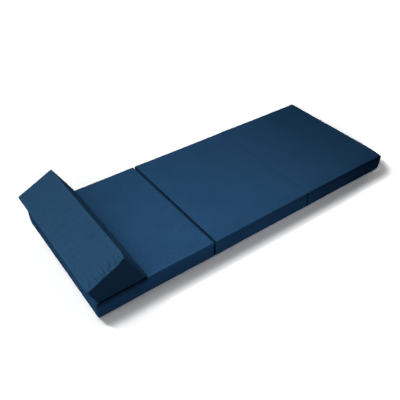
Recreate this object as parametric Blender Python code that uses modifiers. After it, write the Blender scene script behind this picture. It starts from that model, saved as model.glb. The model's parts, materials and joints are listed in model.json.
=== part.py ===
"""Folding mattress with a wedge headrest: foam cores in zipped cloth covers, joined by cloth hinges.

Metres, +Z up. +X runs from the head end to the foot end, and +Y from the near side to the far side.
The origin is the middle of the middle section's underside, where it rests on the floor.
"""
import math

import bmesh
import bpy
from mathutils import Matrix, Vector

# Sections
SECTION_LENGTH = 0.660
SECTION_WIDTH = 0.800
SECTION_HEIGHT = 0.100
HEAD_CREASE = 0.004
FOOT_CREASE = 0.002
SECTION_EDGE = 0.008
SECTION_CROWN = 0.0025
SIDE_DRAW = 0.0015
END_DRAW = 0.0010

# Wedge headrest, a block with two square corners and one long slope that it lies on
WEDGE_BASE = 0.220
WEDGE_BACK = 0.220
WEDGE_EDGE = 0.006
WEDGE_CROWN = 0.0012
WEDGE_SET_BACK = 0.0134
WEDGE_REST_GAP = 0.0004
WEDGE_FLOOR_GAP = 0.0010
WEDGE_UNFOLD_GAP = 0.0005

# Cloth
CLOTH = 0.0015
CLEARANCE = 0.0003
SEAM_TURN = 0.0035
SEAM_GAP = 0.0003
HINGE_LIFT = 0.0004
HINGE_CLOTH = 0.0010
HINGE_INSET = 0.012
HINGE_TAIL = 0.008
HINGE_OFFSET = 0.0003
HINGE_WRAP_DEGREES = 60

# Zips
ZIP_SLIT = 0.012
ZIP_MARGIN = 0.020
WEDGE_ZIP_HEIGHT = 0.045
COIL_WIDTH = 0.005
COIL_HEIGHT = 0.0015
STOP_LENGTH = 0.004
STOP_WIDTH = 0.008
SLIDER_LENGTH = 0.010
SLIDER_WIDTH = 0.008
SLIDER_PLATE = 0.0015
BRIDGE_LENGTH = 0.0048
BRIDGE_WIDTH = 0.0020
BRIDGE_TOP = 0.0008
TUNNEL_LENGTH = 0.0024
TUNNEL_HEIGHT = 0.0020
PULL_LENGTH = 0.024
PULL_WIDTH = 0.0070
PULL_THICKNESS = 0.0010
EYE_LENGTH = 0.0050
EYE_WIDTH = 0.0032

# Modelling
OVERRUN = 0.020
EDGE_SEGMENTS = 2
CROWN_POWER = 8
SECTION_CELLS = (6, 6, 1)
WEDGE_CELLS = (3, 6, 1)
ROUND_STEPS = 4

# Sides of an outline, which is listed anticlockwise from its lower head-end corner
LOWER, FOOT_END, UPPER, HEAD_END = range(4)

# Each finish is a linear base colour, a roughness and a metallic value
FINISHES = {
    "cover_cloth": ((0.022, 0.068, 0.140), 0.90, 0.0),
    "hinge_cloth": ((0.014, 0.042, 0.085), 0.92, 0.0),
    "foam": ((0.72, 0.70, 0.60), 0.95, 0.0),
    "zip_tape": ((0.010, 0.026, 0.055), 0.85, 0.0),
    "zip_coil": ((0.012, 0.020, 0.040), 0.45, 0.0),
    "zip_metal": ((0.10, 0.11, 0.13), 0.35, 1.0),
}


def clear_scene():
    for old in list(bpy.data.objects):
        bpy.data.objects.remove(old, do_unlink=True)


def new_collection(name):
    collection = bpy.data.collections.new(name)
    bpy.context.scene.collection.children.link(collection)
    return collection


def mesh_object(name, bm, collection):
    mesh = bpy.data.meshes.new(name)
    bm.to_mesh(mesh)
    bm.free()
    piece = bpy.data.objects.new(name, mesh)
    collection.objects.link(piece)
    return piece


def as_cutter(piece):
    piece.hide_render = True
    piece.display_type = "WIRE"
    return piece


def finish(piece, kind):
    """Gives a piece a material of its own."""
    colour, roughness, metallic = FINISHES[kind]
    material = bpy.data.materials.new(f"{piece.name}_{kind}")
    material.use_nodes = True
    shader = material.node_tree.nodes["Principled BSDF"]
    shader.inputs["Base Color"].default_value = (*colour, 1.0)
    shader.inputs["Roughness"].default_value = roughness
    shader.inputs["Metallic"].default_value = metallic
    piece.data.materials.append(material)


def empty(name, place, collection, parent=None):
    """A joint axis or another fixed point that pieces are parented to."""
    point = bpy.data.objects.new(name, None)
    collection.objects.link(point)
    point.location = place
    point["place"] = place
    if parent:
        point.parent = parent
        point.location = place - Vector(parent["place"])
    return point


def hang_on(piece, joint):
    """Parents a piece to the empty on its joint axis and keeps it where it is."""
    if joint:
        piece.parent = joint
        piece.location = piece.location - Vector(joint["place"])


def boolean(piece, cutter, operation):
    modifier = piece.modifiers.new(f"{operation.lower()}_{cutter.name}", "BOOLEAN")
    modifier.operation = operation
    modifier.solver = "EXACT"
    modifier.object = cutter


def block(name, low, high, collection):
    """An upright box between two corners."""
    size = high - low
    bm = bmesh.new()
    bmesh.ops.create_cube(bm, size=1.0, matrix=Matrix.Diagonal((*size, 1.0)))
    piece = mesh_object(name, bm, collection)
    piece.location = (low + high) / 2
    return piece


def moved_in(outline, distance):
    """The outline with each of its sides moved inwards by a distance."""
    moved = []
    for i, corner in enumerate(outline):
        before = (corner - outline[i - 1]).normalized()
        after = (outline[(i + 1) % len(outline)] - corner).normalized()
        first = Vector((-before.y, before.x))
        second = Vector((-after.y, after.x))
        moved.append(corner + (first + second) * (distance / (1 + first.dot(second))))
    return moved


def side_block(name, outline, side, depth, collection):
    """A box along one side of an outline, from outside it to a depth inside it."""
    start = outline[side]
    end = outline[(side + 1) % len(outline)]
    along = (end - start).normalized()
    inwards = Vector((-along.y, along.x))
    middle = (start + end) / 2 + inwards * (depth - OVERRUN) / 2
    length = (end - start).length + 2 * OVERRUN
    size = (length, SECTION_WIDTH + 2 * OVERRUN, depth + OVERRUN)
    bm = bmesh.new()
    bmesh.ops.create_cube(bm, size=1.0, matrix=Matrix.Diagonal((*size, 1.0)))
    piece = mesh_object(name, bm, collection)
    piece.location = (middle.x, 0, middle.y)
    piece.rotation_euler.y = -math.atan2(along.y, along.x)
    return piece


def side_span(outline, height):
    """Where a level line at this height enters and leaves an outline."""
    crossings = []
    for side in (HEAD_END, FOOT_END):
        start = outline[side]
        end = outline[(side + 1) % len(outline)]
        share = (height - start.y) / (end.y - start.y)
        crossings.append(start.x + (end.x - start.x) * share)
    return crossings


class Unit:
    """One covered block of foam: a section of the mattress or the wedge."""

    def __init__(self, name, outline, edge, crown, cells, zip_height, joint):
        self.name = name
        self.outline = outline
        self.edge = edge
        self.crown = crown
        self.cells = cells
        self.zip_height = zip_height
        self.joint = joint


def soft_form(name, unit, inset, collection):
    """A unit's foam shape: crowned on its upper side, flat underneath and drawn in along its other sides."""
    corners = moved_in(unit.outline, inset)
    half_width = SECTION_WIDTH / 2 - inset
    bm = bmesh.new()
    bmesh.ops.create_cube(bm, size=2.0)
    for axis, cells in enumerate(unit.cells):
        across = Vector((0, 0, 0))
        across[axis] = 1
        for i in range(1, cells):
            geometry = bm.verts[:] + bm.edges[:] + bm.faces[:]
            at = across * (2 * i / cells - 1)
            bmesh.ops.bisect_plane(bm, geom=geometry, plane_co=at, plane_no=across)
    edges = []
    for edge in bm.edges:
        middle = (edge.verts[0].co + edge.verts[1].co) / 2
        if sum(round(abs(part), 4) == 1 for part in middle) == 2:
            edges.append(edge)
    lengthwise = (corners[1] - corners[0]).normalized()
    for vertex in bm.verts:
        a, b, c = vertex.co
        lower = corners[0].lerp(corners[1], (a + 1) / 2)
        upper = corners[3].lerp(corners[2], (a + 1) / 2)
        height = (c + 1) / 2
        hollow = 1 - (1 - a**CROWN_POWER) * (1 - b**CROWN_POWER)
        point = lower.lerp(upper, height)
        point -= (upper - lower).normalized() * (unit.crown * hollow * height)
        point -= lengthwise * (a * END_DRAW * (1 - b**2))
        vertex.co = (point.x, b * (half_width - SIDE_DRAW * (1 - a**2)), point.y)
    bm.normal_update()
    bmesh.ops.bevel(
        bm,
        geom=edges,
        offset=unit.edge - inset,
        offset_type="OFFSET",
        segments=EDGE_SEGMENTS,
        profile=0.5,
        affect="EDGES",
    )
    bmesh.ops.triangulate(bm, faces=bm.faces, quad_method="FIXED", ngon_method="EAR_CLIP")
    bmesh.ops.recalc_face_normals(bm, faces=bm.faces)
    return mesh_object(name, bm, collection)


def far_block(name, unit, x_span, z_span, collection):
    """A box over the far side of a unit, between two lengthwise places and two heights."""
    inner = SECTION_WIDTH / 2 - SIDE_DRAW - SEAM_TURN
    outer = SECTION_WIDTH / 2 + OVERRUN
    low = Vector((x_span[0], inner, z_span[0]))
    high = Vector((x_span[1], outer, z_span[1]))
    return block(name, low, high, collection)


def near_or_far_block(name, unit, far, depth, collection):
    """A box over a unit's whole near or far side, from outside it to a depth inside it."""
    xs = [corner.x for corner in unit.outline]
    zs = [corner.y for corner in unit.outline]
    near_y = -SECTION_WIDTH / 2
    low = Vector((min(xs) - OVERRUN, near_y - OVERRUN, min(zs) - OVERRUN))
    high = Vector((max(xs) + OVERRUN, near_y + depth, max(zs) + OVERRUN))
    if far:
        low.y, high.y = -high.y, -low.y
    return block(name, low, high, collection)


def cover(unit, names, pieces, cutters):
    """The cloth panels round a unit's foam, each the slice of the cloth that its own block holds."""
    outside = as_cutter(soft_form(f"{unit.name}_cover_outside", unit, 0, cutters))
    inside = as_cutter(soft_form(f"{unit.name}_cover_inside", unit, CLOTH, cutters))
    depths = {
        LOWER: SEAM_TURN,
        UPPER: unit.crown + SEAM_TURN,
        FOOT_END: END_DRAW + unit.edge,
        HEAD_END: END_DRAW + unit.edge,
    }
    side_depth = SIDE_DRAW + SEAM_TURN
    seams = {}
    for side in (LOWER, UPPER):
        depth = depths[side] + SEAM_GAP
        seam = side_block(f"{unit.name}_seam_{side}", unit.outline, side, depth, cutters)
        seams[side] = as_cutter(seam)
    for far in (False, True):
        label = f"{unit.name}_seam_{'far' if far else 'near'}"
        seam = near_or_far_block(label, unit, far, side_depth + SEAM_GAP, cutters)
        seams[label] = as_cutter(seam)
    sheets = [seams[LOWER], seams[UPPER]]

    def panel(piece, neighbours):
        boolean(piece, outside, "INTERSECT")
        boolean(piece, inside, "DIFFERENCE")
        for neighbour in neighbours:
            boolean(piece, neighbour, "DIFFERENCE")
        finish(piece, "cover_cloth")
        hang_on(piece, unit.joint)

    for side in (LOWER, UPPER):
        name = f"{unit.name}_{names[side]}"
        panel(side_block(name, unit.outline, side, depths[side], pieces), [])
    for side in (HEAD_END, FOOT_END):
        name = f"{unit.name}_{names[side]}"
        neighbours = list(seams.values())
        panel(side_block(name, unit.outline, side, depths[side], pieces), neighbours)
    name = f"{unit.name}_{names['near']}"
    panel(near_or_far_block(name, unit, False, side_depth, pieces), sheets)

    xs = [corner.x for corner in unit.outline]
    zs = [corner.y for corner in unit.outline]
    x_span = (min(xs) - OVERRUN, max(xs) + OVERRUN)
    above = (unit.zip_height + ZIP_SLIT / 2, max(zs) + OVERRUN)
    below = (min(zs) - OVERRUN, unit.zip_height - ZIP_SLIT / 2)
    name = f"{unit.name}_{names['far']}"
    panel(far_block(f"{name}_upper", unit, x_span, above, pieces), [seams[UPPER]])
    panel(far_block(f"{name}_lower", unit, x_span, below, pieces), [seams[LOWER]])

    half = ZIP_SLIT / 2 - SEAM_GAP
    level = (unit.zip_height - half, unit.zip_height + half)
    tape = far_block(f"{unit.name}_zip_tape", unit, x_span, level, pieces)
    boolean(tape, outside, "INTERSECT")
    boolean(tape, inside, "DIFFERENCE")
    finish(tape, "zip_tape")
    hang_on(tape, unit.joint)

    core = soft_form(f"{unit.name}_foam_core", unit, CLOTH + CLEARANCE, pieces)
    finish(core, "foam")
    hang_on(core, unit.joint)


def zip_run(unit):
    """Where a unit's zip starts and ends."""
    start, end = side_span(unit.outline, unit.zip_height)
    return start + ZIP_MARGIN, end - ZIP_MARGIN


def zip_teeth(unit, pieces, cutters):
    """The coil and its two stops, which follow the drawn-in far side on top of the tape."""
    under = as_cutter(soft_form(f"{unit.name}_zip_under", unit, -CLEARANCE, cutters))
    top = -CLEARANCE - COIL_HEIGHT
    over = as_cutter(soft_form(f"{unit.name}_zip_over", unit, top, cutters))
    start, end = zip_run(unit)
    inner_start = start + STOP_LENGTH + CLEARANCE
    inner_end = end - STOP_LENGTH - CLEARANCE
    runs = {
        "zip_closed_stop": (start, start + STOP_LENGTH, STOP_WIDTH, "zip_metal"),
        "zip_coil": (inner_start, inner_end, COIL_WIDTH, "zip_coil"),
        "zip_open_stop": (end - STOP_LENGTH, end, STOP_WIDTH, "zip_metal"),
    }
    for label, (low, high, width, kind) in runs.items():
        level = (unit.zip_height - width / 2, unit.zip_height + width / 2)
        piece = far_block(f"{unit.name}_{label}", unit, (low, high), level, pieces)
        boolean(piece, over, "INTERSECT")
        boolean(piece, under, "DIFFERENCE")
        finish(piece, kind)
        hang_on(piece, unit.joint)


def zip_slider(unit, pieces, cutters):
    """The slider on the coil, with a bridge over it that the pull tab's bar turns in."""
    centre_x = zip_run(unit)[0] + STOP_LENGTH + CLEARANCE + SLIDER_LENGTH / 2
    plate_y = SECTION_WIDTH / 2 + 2 * CLEARANCE + COIL_HEIGHT
    bridge_y = plate_y + SLIDER_PLATE
    centre = Vector((centre_x, bridge_y, unit.zip_height))
    rail = empty(f"{unit.name}_zip_rail", centre, cutters, unit.joint)

    half_plate = Vector((SLIDER_LENGTH / 2, 0, SLIDER_WIDTH / 2))
    low = centre - half_plate - Vector((0, SLIDER_PLATE, 0))
    slider = block(f"{unit.name}_zip_slider", low, centre + half_plate, pieces)
    half_bridge = Vector((BRIDGE_LENGTH / 2, 0, BRIDGE_WIDTH / 2))
    low = centre - half_bridge - Vector((0, SLIDER_PLATE / 2, 0))
    high = centre + half_bridge + Vector((0, TUNNEL_HEIGHT + BRIDGE_TOP, 0))
    bridge = as_cutter(block(f"{unit.name}_zip_bridge", low, high, cutters))
    half_tunnel = Vector((TUNNEL_LENGTH / 2, 0, BRIDGE_WIDTH))
    high = centre + half_tunnel + Vector((0, TUNNEL_HEIGHT, 0))
    tunnel = as_cutter(block(f"{unit.name}_zip_tunnel", centre - half_tunnel, high, cutters))
    boolean(slider, bridge, "UNION")
    boolean(slider, tunnel, "DIFFERENCE")
    finish(slider, "zip_metal")
    hang_on(slider, rail)

    axis = centre + Vector((0, TUNNEL_HEIGHT / 2, 0))
    pivot = empty(f"{unit.name}_pull_pivot", axis, cutters, rail)
    half_bar = Vector((PULL_THICKNESS / 2, PULL_THICKNESS / 2, PULL_WIDTH / 2))
    high = axis + half_bar
    high.x = axis.x + PULL_LENGTH
    pull = block(f"{unit.name}_zip_pull", axis - half_bar, high, pieces)
    eye_low = axis + Vector((PULL_THICKNESS / 2, -PULL_THICKNESS, -EYE_WIDTH / 2))
    eye_high = axis + Vector((EYE_LENGTH, PULL_THICKNESS, EYE_WIDTH / 2))
    eye = as_cutter(block(f"{unit.name}_pull_eye", eye_low, eye_high, cutters))
    boolean(pull, eye, "DIFFERENCE")
    finish(pull, "zip_metal")
    hang_on(pull, pivot)


def ribbon(name, path, joint, pieces):
    """A strip of hinge cloth along a path of lengthwise places and heights, across the mattress."""
    half_width = SECTION_WIDTH / 2 - HINGE_INSET
    bm = bmesh.new()
    start = [bm.verts.new((x, -half_width, z)) for x, z in path]
    edges = [bm.edges.new(pair) for pair in zip(start, start[1:])]
    grown = bmesh.ops.extrude_edge_only(bm, edges=edges)["geom"]
    moved = [item for item in grown if isinstance(item, bmesh.types.BMVert)]
    bmesh.ops.translate(bm, verts=moved, vec=(0, 2 * half_width, 0))
    bmesh.ops.recalc_face_normals(bm, faces=bm.faces)
    piece = mesh_object(name, bm, pieces)
    thicken = piece.modifiers.new("thicken", "SOLIDIFY")
    thicken.thickness = HINGE_CLOTH
    thicken.offset = 0
    thicken.use_even_offset = True
    finish(piece, "hinge_cloth")
    hang_on(piece, joint)


def crease_room(crease, depth):
    """How far each way from a crease's middle the rounded edges leave free, at a depth below their flats."""
    return crease / 2 + SECTION_EDGE - math.sqrt(SECTION_EDGE**2 - (SECTION_EDGE - depth) ** 2)


def crease_hinge(name, x, flat, upwards, crease, pieces):
    """The hinge cloth that closes a crease, just inside the flats of its two sections."""
    half = crease_room(crease, HINGE_LIFT + HINGE_CLOTH + CLEARANCE)
    z = flat + upwards * (HINGE_LIFT + HINGE_CLOTH / 2)
    ribbon(name, [(x - half, z), (x + half, z)], None, pieces)


def wedge_hinge(head, wedge, joint, pieces):
    """The hinge cloth from over the head section's end to the front of the wedge."""
    away = CLEARANCE + HINGE_CLOTH / 2
    end_top = head.outline[HEAD_END]
    centre = Vector((end_top.x + SECTION_EDGE, end_top.y - SECTION_CROWN - SECTION_EDGE))
    reach = SECTION_EDGE + away
    path = []
    for i in range(ROUND_STEPS):
        angle = math.radians(HINGE_WRAP_DEGREES) * (1 - i / (ROUND_STEPS - 1))
        path.append(centre + Vector((-math.sin(angle), math.cos(angle))) * reach)
    toe = wedge.outline[LOWER]
    upwards = (wedge.outline[HEAD_END] - toe).normalized()
    outwards = Vector((-upwards.y, upwards.x))
    corner = toe + outwards * away
    path.append(corner)
    path.append(corner + upwards * HINGE_TAIL)
    ribbon("wedge_hinge_cloth", [(point.x, point.y) for point in path], joint, pieces)


def section_outline(start):
    end = start + SECTION_LENGTH
    return [
        Vector((start, 0)),
        Vector((end, 0)),
        Vector((end, SECTION_HEIGHT)),
        Vector((start, SECTION_HEIGHT)),
    ]


def wedge_shape(head_end):
    """The wedge's outline as it lies on the head section, and the axis and angle that it flips over by."""
    front = SECTION_HEIGHT - WEDGE_FLOOR_GAP
    slope = math.atan2(WEDGE_BACK - front, WEDGE_BASE)
    length = math.hypot(WEDGE_BACK - front, WEDGE_BASE)
    lean = Vector((-math.sin(slope), math.cos(slope)))
    toe = Vector((head_end + WEDGE_SET_BACK, SECTION_HEIGHT + WEDGE_REST_GAP))
    heel = toe + Vector((length, 0))
    outline = [toe, heel, heel + lean * WEDGE_BACK, toe + lean * front]
    turn = math.pi - slope
    half_chord = (WEDGE_SET_BACK + WEDGE_UNFOLD_GAP) / 2
    axis_x = head_end + (WEDGE_SET_BACK - WEDGE_UNFOLD_GAP) / 2
    axis_z = toe.y - half_chord / math.tan(turn / 2)
    return outline, Vector((axis_x, 0, axis_z)), turn


def build():
    clear_scene()
    pieces = new_collection("folding_mattress")
    cutters = new_collection("cutters")

    middle_start = -SECTION_LENGTH / 2
    head_start = middle_start - HEAD_CREASE - SECTION_LENGTH
    foot_start = -middle_start + FOOT_CREASE
    head_crease_x = middle_start - HEAD_CREASE / 2
    foot_crease_x = -middle_start + FOOT_CREASE / 2
    head_axis = Vector((head_crease_x, 0, -HINGE_OFFSET))
    foot_axis = Vector((foot_crease_x, 0, SECTION_HEIGHT + HINGE_OFFSET))
    outline, wedge_axis, wedge_turn = wedge_shape(head_start)
    head_joint = empty("head_hinge", head_axis, cutters)
    foot_joint = empty("foot_hinge", foot_axis, cutters)
    wedge_joint = empty("wedge_hinge", wedge_axis, cutters, head_joint)

    units = []
    starts = {
        "head": (head_start, head_joint),
        "middle": (middle_start, None),
        "foot": (foot_start, foot_joint),
    }
    shape = (SECTION_EDGE, SECTION_CROWN, SECTION_CELLS)
    for name, (start, joint) in starts.items():
        section = section_outline(start)
        units.append(Unit(name, section, *shape, SECTION_HEIGHT / 2, joint))
    shape = (WEDGE_EDGE, WEDGE_CROWN, WEDGE_CELLS)
    zip_height = outline[LOWER].y + WEDGE_ZIP_HEIGHT
    units.append(Unit("wedge", outline, *shape, zip_height, wedge_joint))

    section_names = {
        LOWER: "bottom_sheet",
        UPPER: "top_sheet",
        HEAD_END: "head_end_band",
        FOOT_END: "foot_end_band",
        "near": "near_band",
        "far": "far_band",
    }
    wedge_names = {
        LOWER: "slope_sheet",
        UPPER: "base_sheet",
        HEAD_END: "front_band",
        FOOT_END: "back_band",
        "near": "near_panel",
        "far": "far_panel",
    }
    for unit in units:
        cover(unit, wedge_names if unit.name == "wedge" else section_names, pieces, cutters)
        zip_teeth(unit, pieces, cutters)
        zip_slider(unit, pieces, cutters)
        start, end = zip_run(unit)
        travel = end - start - 2 * (STOP_LENGTH + CLEARANCE) - SLIDER_LENGTH
        axis = bpy.data.objects[f"{unit.name}_pull_pivot"]["place"]
        print(f"{unit.name}: zip travel {travel:.4f} m, pull axis {[round(part, 5) for part in axis]}")

    crease_hinge("head_hinge_cloth", head_crease_x, 0, 1, HEAD_CREASE, pieces)
    foot_flat = SECTION_HEIGHT - SECTION_CROWN
    crease_hinge("foot_hinge_cloth", foot_crease_x, foot_flat, -1, FOOT_CREASE, pieces)
    wedge_hinge(units[0], units[3], head_joint, pieces)
    for label, axis in (("head", head_axis), ("foot", foot_axis), ("wedge", wedge_axis)):
        print(f"{label} hinge axis {[round(part, 5) for part in axis]}")
    print(f"wedge flips by {math.degrees(wedge_turn):.2f} degrees")


build()
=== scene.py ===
# %% [markdown]
# # A folding mattress with a wedge headrest
# Three foam blocks lie in a row. Each has a zipped cloth cover, and strips of cloth join them, so that the
# row folds up like a letter Z. A wedge of foam lies across the head end as a headrest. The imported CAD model
# says where every piece is, so this lesson only dresses it: cloth that is sewn, puckered and a little slack.

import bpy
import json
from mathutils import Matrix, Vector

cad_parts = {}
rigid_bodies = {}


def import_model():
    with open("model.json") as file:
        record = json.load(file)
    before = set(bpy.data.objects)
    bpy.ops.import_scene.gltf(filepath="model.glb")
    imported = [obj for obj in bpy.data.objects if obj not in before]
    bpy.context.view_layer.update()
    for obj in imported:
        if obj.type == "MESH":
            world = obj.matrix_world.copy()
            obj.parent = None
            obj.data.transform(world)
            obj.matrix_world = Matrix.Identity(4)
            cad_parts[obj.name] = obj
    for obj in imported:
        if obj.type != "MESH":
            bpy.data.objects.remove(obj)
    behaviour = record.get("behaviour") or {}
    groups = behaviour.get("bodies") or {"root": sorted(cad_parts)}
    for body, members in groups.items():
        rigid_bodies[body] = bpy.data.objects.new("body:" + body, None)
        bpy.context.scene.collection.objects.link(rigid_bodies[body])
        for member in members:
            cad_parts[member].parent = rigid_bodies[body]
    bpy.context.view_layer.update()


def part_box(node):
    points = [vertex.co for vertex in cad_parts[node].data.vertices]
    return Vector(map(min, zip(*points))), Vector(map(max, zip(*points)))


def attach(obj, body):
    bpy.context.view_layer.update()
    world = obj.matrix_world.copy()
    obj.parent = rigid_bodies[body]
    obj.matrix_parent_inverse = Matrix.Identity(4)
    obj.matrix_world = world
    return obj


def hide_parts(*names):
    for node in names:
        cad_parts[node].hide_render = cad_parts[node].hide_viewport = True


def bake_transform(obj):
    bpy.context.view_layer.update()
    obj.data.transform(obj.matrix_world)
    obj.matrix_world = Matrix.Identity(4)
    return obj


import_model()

# %% The other libraries, and the colour setting
import itertools
import json
import math

import bpy
import numpy as np
from mathutils import Euler, Matrix, Vector
from mathutils.bvhtree import BVHTree

scene = bpy.context.scene
scene.view_settings.view_transform = "Standard"
print("view transform:", scene.view_settings.view_transform)

# %% [markdown]
# ## The camera
# The photograph looks down on the mattress from the near left, from beyond its head end. The place and the
# angles were worked out from the edges of the blocks, because straight edges in perspective give both.
# A long lens far away and a short one close by draw different pictures, so the lens matters as much. The
# picture is also turned by less than one degree, as if the camera had been held a little askew.

# %% Set the camera
PHOTO_PIXELS = 400
FOCAL_PIXELS = 495.0
CAMERA_PLACE = (-1.4581, -1.7676, 1.8409)
CAMERA_PITCH = math.radians(39.660)
CAMERA_YAW = math.radians(36.900)
CAMERA_ROLL = math.radians(0.732)

camera_data = bpy.data.cameras.new("camera")
camera_data.sensor_width = 36.0
camera_data.lens = camera_data.sensor_width * FOCAL_PIXELS / PHOTO_PIXELS
camera = bpy.data.objects.new("camera", camera_data)
camera.location = CAMERA_PLACE
aimed = Euler((math.pi / 2 - CAMERA_PITCH, 0.0, -CAMERA_YAW)).to_matrix()
camera.rotation_euler = (aimed @ Matrix.Rotation(CAMERA_ROLL, 3, "Z")).to_euler()
scene.collection.objects.link(camera)
scene.camera = camera
print("lens", round(camera_data.lens, 2), "mm")

# %% [markdown]
# ## Light
# The picture has soft light from above and behind, so the top is bright, the near side dark, and a narrow
# shadow lies along it. Its main lamp is a panel behind the far side, which falls off towards the foot. A
# very broad sun softens that, and four weak panels lift the head end, the near side and what faces the foot.

# %% Hang the lamps
SUN_STRENGTH = 0.324
SUN_SPREAD = math.radians(70)
SUN_FROM = Vector((0.0, 0.643, 0.766))
PANEL_SIZE = 0.9
PANEL_AIM = Vector((-0.5, 0.0, 0.1))
PANELS_AT = {
    "far_panel": ((-1.6, 2.6, 2.2), 140.0),
    "head_panel": ((-2.2, -0.6, 1.4), 9.5),
    "near_foot_panel": ((0.2, -1.4, 0.2), 2.3),
    "near_head_panel": ((-0.6, -1.2, 0.2), 0.9),
    "foot_panel": ((4.0, 0.3, 0.5), 30.0),
}
WORLD_STRENGTH = 0.002


def lamp(name, kind, place, aim):
    """A lamp at a place that points at another."""
    data = bpy.data.lights.new(name, kind)
    holder = bpy.data.objects.new(name, data)
    holder.location = place
    holder.rotation_euler = (aim - place).to_track_quat("-Z", "Y").to_euler()
    holder.visible_camera = False
    scene.collection.objects.link(holder)
    return data


sun = lamp("broad_sun", "SUN", SUN_FROM * 3, Vector((0, 0, 0)))
sun.energy, sun.angle = SUN_STRENGTH, SUN_SPREAD
for name, (place, watts) in PANELS_AT.items():
    panel_light = lamp(name, "AREA", Vector(place), PANEL_AIM)
    panel_light.shape, panel_light.size, panel_light.energy = "SQUARE", PANEL_SIZE, watts
    print(name, "gives", watts, "W")

# %% [markdown]
# ## Building a material from nodes
# Materials are little circuits. These helpers add a node, set its inputs by name and wire one to the next,
# so that each finish below reads as a list of steps.


# %% Helpers for nodes
def add(tree, kind, inputs=None, **settings):
    """A node with its settings, and each input given a plain value or another node's output."""
    node = tree.nodes.new(kind)
    for name, value in settings.items():
        setattr(node, name, value)
    for key, value in (inputs or {}).items():
        if isinstance(value, bpy.types.NodeSocket):
            tree.links.new(value, node.inputs[key])
        else:
            node.inputs[key].default_value = value
    return node


def maths(tree, operation, first, second=0.0):
    """The result of a sum on two values."""
    return add(tree, "ShaderNodeMath", {0: first, 1: second}, operation=operation).outputs[0]


def on_vectors(tree, operation, first, second=None):
    """The result of a sum on one or two vectors, or of scaling one. A dot product and a length are plain
    values."""
    other = "Scale" if operation == "SCALE" else 1
    inputs = {0: first} if second is None else {0: first, other: second}
    result = "Value" if operation in ("DOT_PRODUCT", "LENGTH") else "Vector"
    return add(tree, "ShaderNodeVectorMath", inputs, operation=operation).outputs[result]


def parts_of(tree, place):
    """The three numbers of a place."""
    return add(tree, "ShaderNodeSeparateXYZ", {0: place}).outputs


def ranged(tree, value, low, high, to_low=0.0, to_high=1.0, shape="LINEAR"):
    """A value moved from one range to another and held within it, in a straight line or a smooth step."""
    inputs = {"Value": value, "From Min": low, "From Max": high, "To Min": to_low, "To Max": to_high}
    return add(tree, "ShaderNodeMapRange", inputs, interpolation_type=shape).outputs["Result"]


def mixed(tree, share, first, second):
    """A colour between two others."""
    return add(tree, "ShaderNodeMix", {0: share, 6: first, 7: second}, data_type="RGBA").outputs[2]


def noise(tree, place, scale, detail, roughness=0.5):
    """A noise pattern, which varies round a half."""
    inputs = {"Vector": place, "Scale": scale, "Detail": detail, "Roughness": roughness}
    return add(tree, "ShaderNodeTexNoise", inputs).outputs[0]


def new_group(name, inputs, outputs):
    """An empty node group with named sockets, its inputs and its output node."""
    tree = bpy.data.node_groups.new(name, "ShaderNodeTree")
    for label, kind, value in inputs:
        socket = tree.interface.new_socket(label, in_out="INPUT", socket_type=kind)
        if value is not None:
            socket.default_value = value
    for label, kind in outputs:
        tree.interface.new_socket(label, in_out="OUTPUT", socket_type=kind)
    return tree, tree.nodes.new("NodeGroupInput").outputs, tree.nodes.new("NodeGroupOutput").inputs


def placed(tree, group, inputs):
    """A node group placed in a material, with its own values."""
    return add(tree, "ShaderNodeGroup", inputs, node_tree=group).outputs


def new_material(name):
    """A material with nodes, its tree and its Principled BSDF."""
    material = bpy.data.materials.new(name)
    material.use_nodes = True
    return material, material.node_tree, material.node_tree.nodes["Principled BSDF"]


print("node helpers are ready")

# %% [markdown]
# ## The floor
# The picture's ground is pure white with one soft shadow. A floor that is really white would throw a lot
# of light up at the near side, which is dark in the picture. So the floor shows white to the camera only, by
# Light Path, and to the cloth it is a mid grey. It stays a matte surface, so it still holds the shadow.
# The lamps are near, so at each place the floor's tone is divided by the light that the lamps would throw
# there, and looks even. As a photographer burns out the rest of a soft shadow, painted light lifts the
# floor's tone a few centimetres away from the near side and from the foot end, because the picture's shadow
# does stop short. Along the line where the near side meets the floor, painted shade makes it a little darker
# at the head end and painted light makes it lighter at the foot end.

# %% Lay the floor
FLOOR_HALF = 14.0
FLOOR_SEEN, FLOOR_FELT, FLOOR_MOST = 1.035, 0.30, 12.0

# Painted light lifts the outer part of the shadow from here on, measured from two lines under the near side
# and the foot end, and less so towards the far side
NEAR_EDGE = -0.400
CORE_EDGE, CORE_END = -0.360, 0.952
PAINTED_LIFT_FROM, PAINTED_LIFT_TO, PAINTED_LIFT = 0.081, 0.152, 2.0
PAINTED_LIFT_FAR, PAINTED_LIFT_NEAR = -0.25, -0.02

# Painted shade and painted light on the contact line: its tone at each end, darker at the head end and
# lighter at the foot end, its width, and where it fades past the ends and under the mattress
PAINTED_CONTACT_HEAD, PAINTED_CONTACT_FOOT, PAINTED_CONTACT_WIDTH = 0.75, 1.90, 0.030
PAINTED_CONTACT_HALF = 1.0
PAINTED_CONTACT_PAST_HEAD, PAINTED_CONTACT_PAST_FOOT, PAINTED_CONTACT_UNDER = (-1.015, -0.975), (0.96, 1.0), (-0.030, 0.0)

floor_mesh = bpy.data.meshes.new("floor")
corners = [(-FLOOR_HALF, -FLOOR_HALF, 0), (FLOOR_HALF, -FLOOR_HALF, 0)]
corners += [(FLOOR_HALF, FLOOR_HALF, 0), (-FLOOR_HALF, FLOOR_HALF, 0)]
floor_mesh.from_pydata(corners, [], [(0, 1, 2, 3)])
floor = bpy.data.objects.new("floor", floor_mesh)
scene.collection.objects.link(floor)


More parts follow.
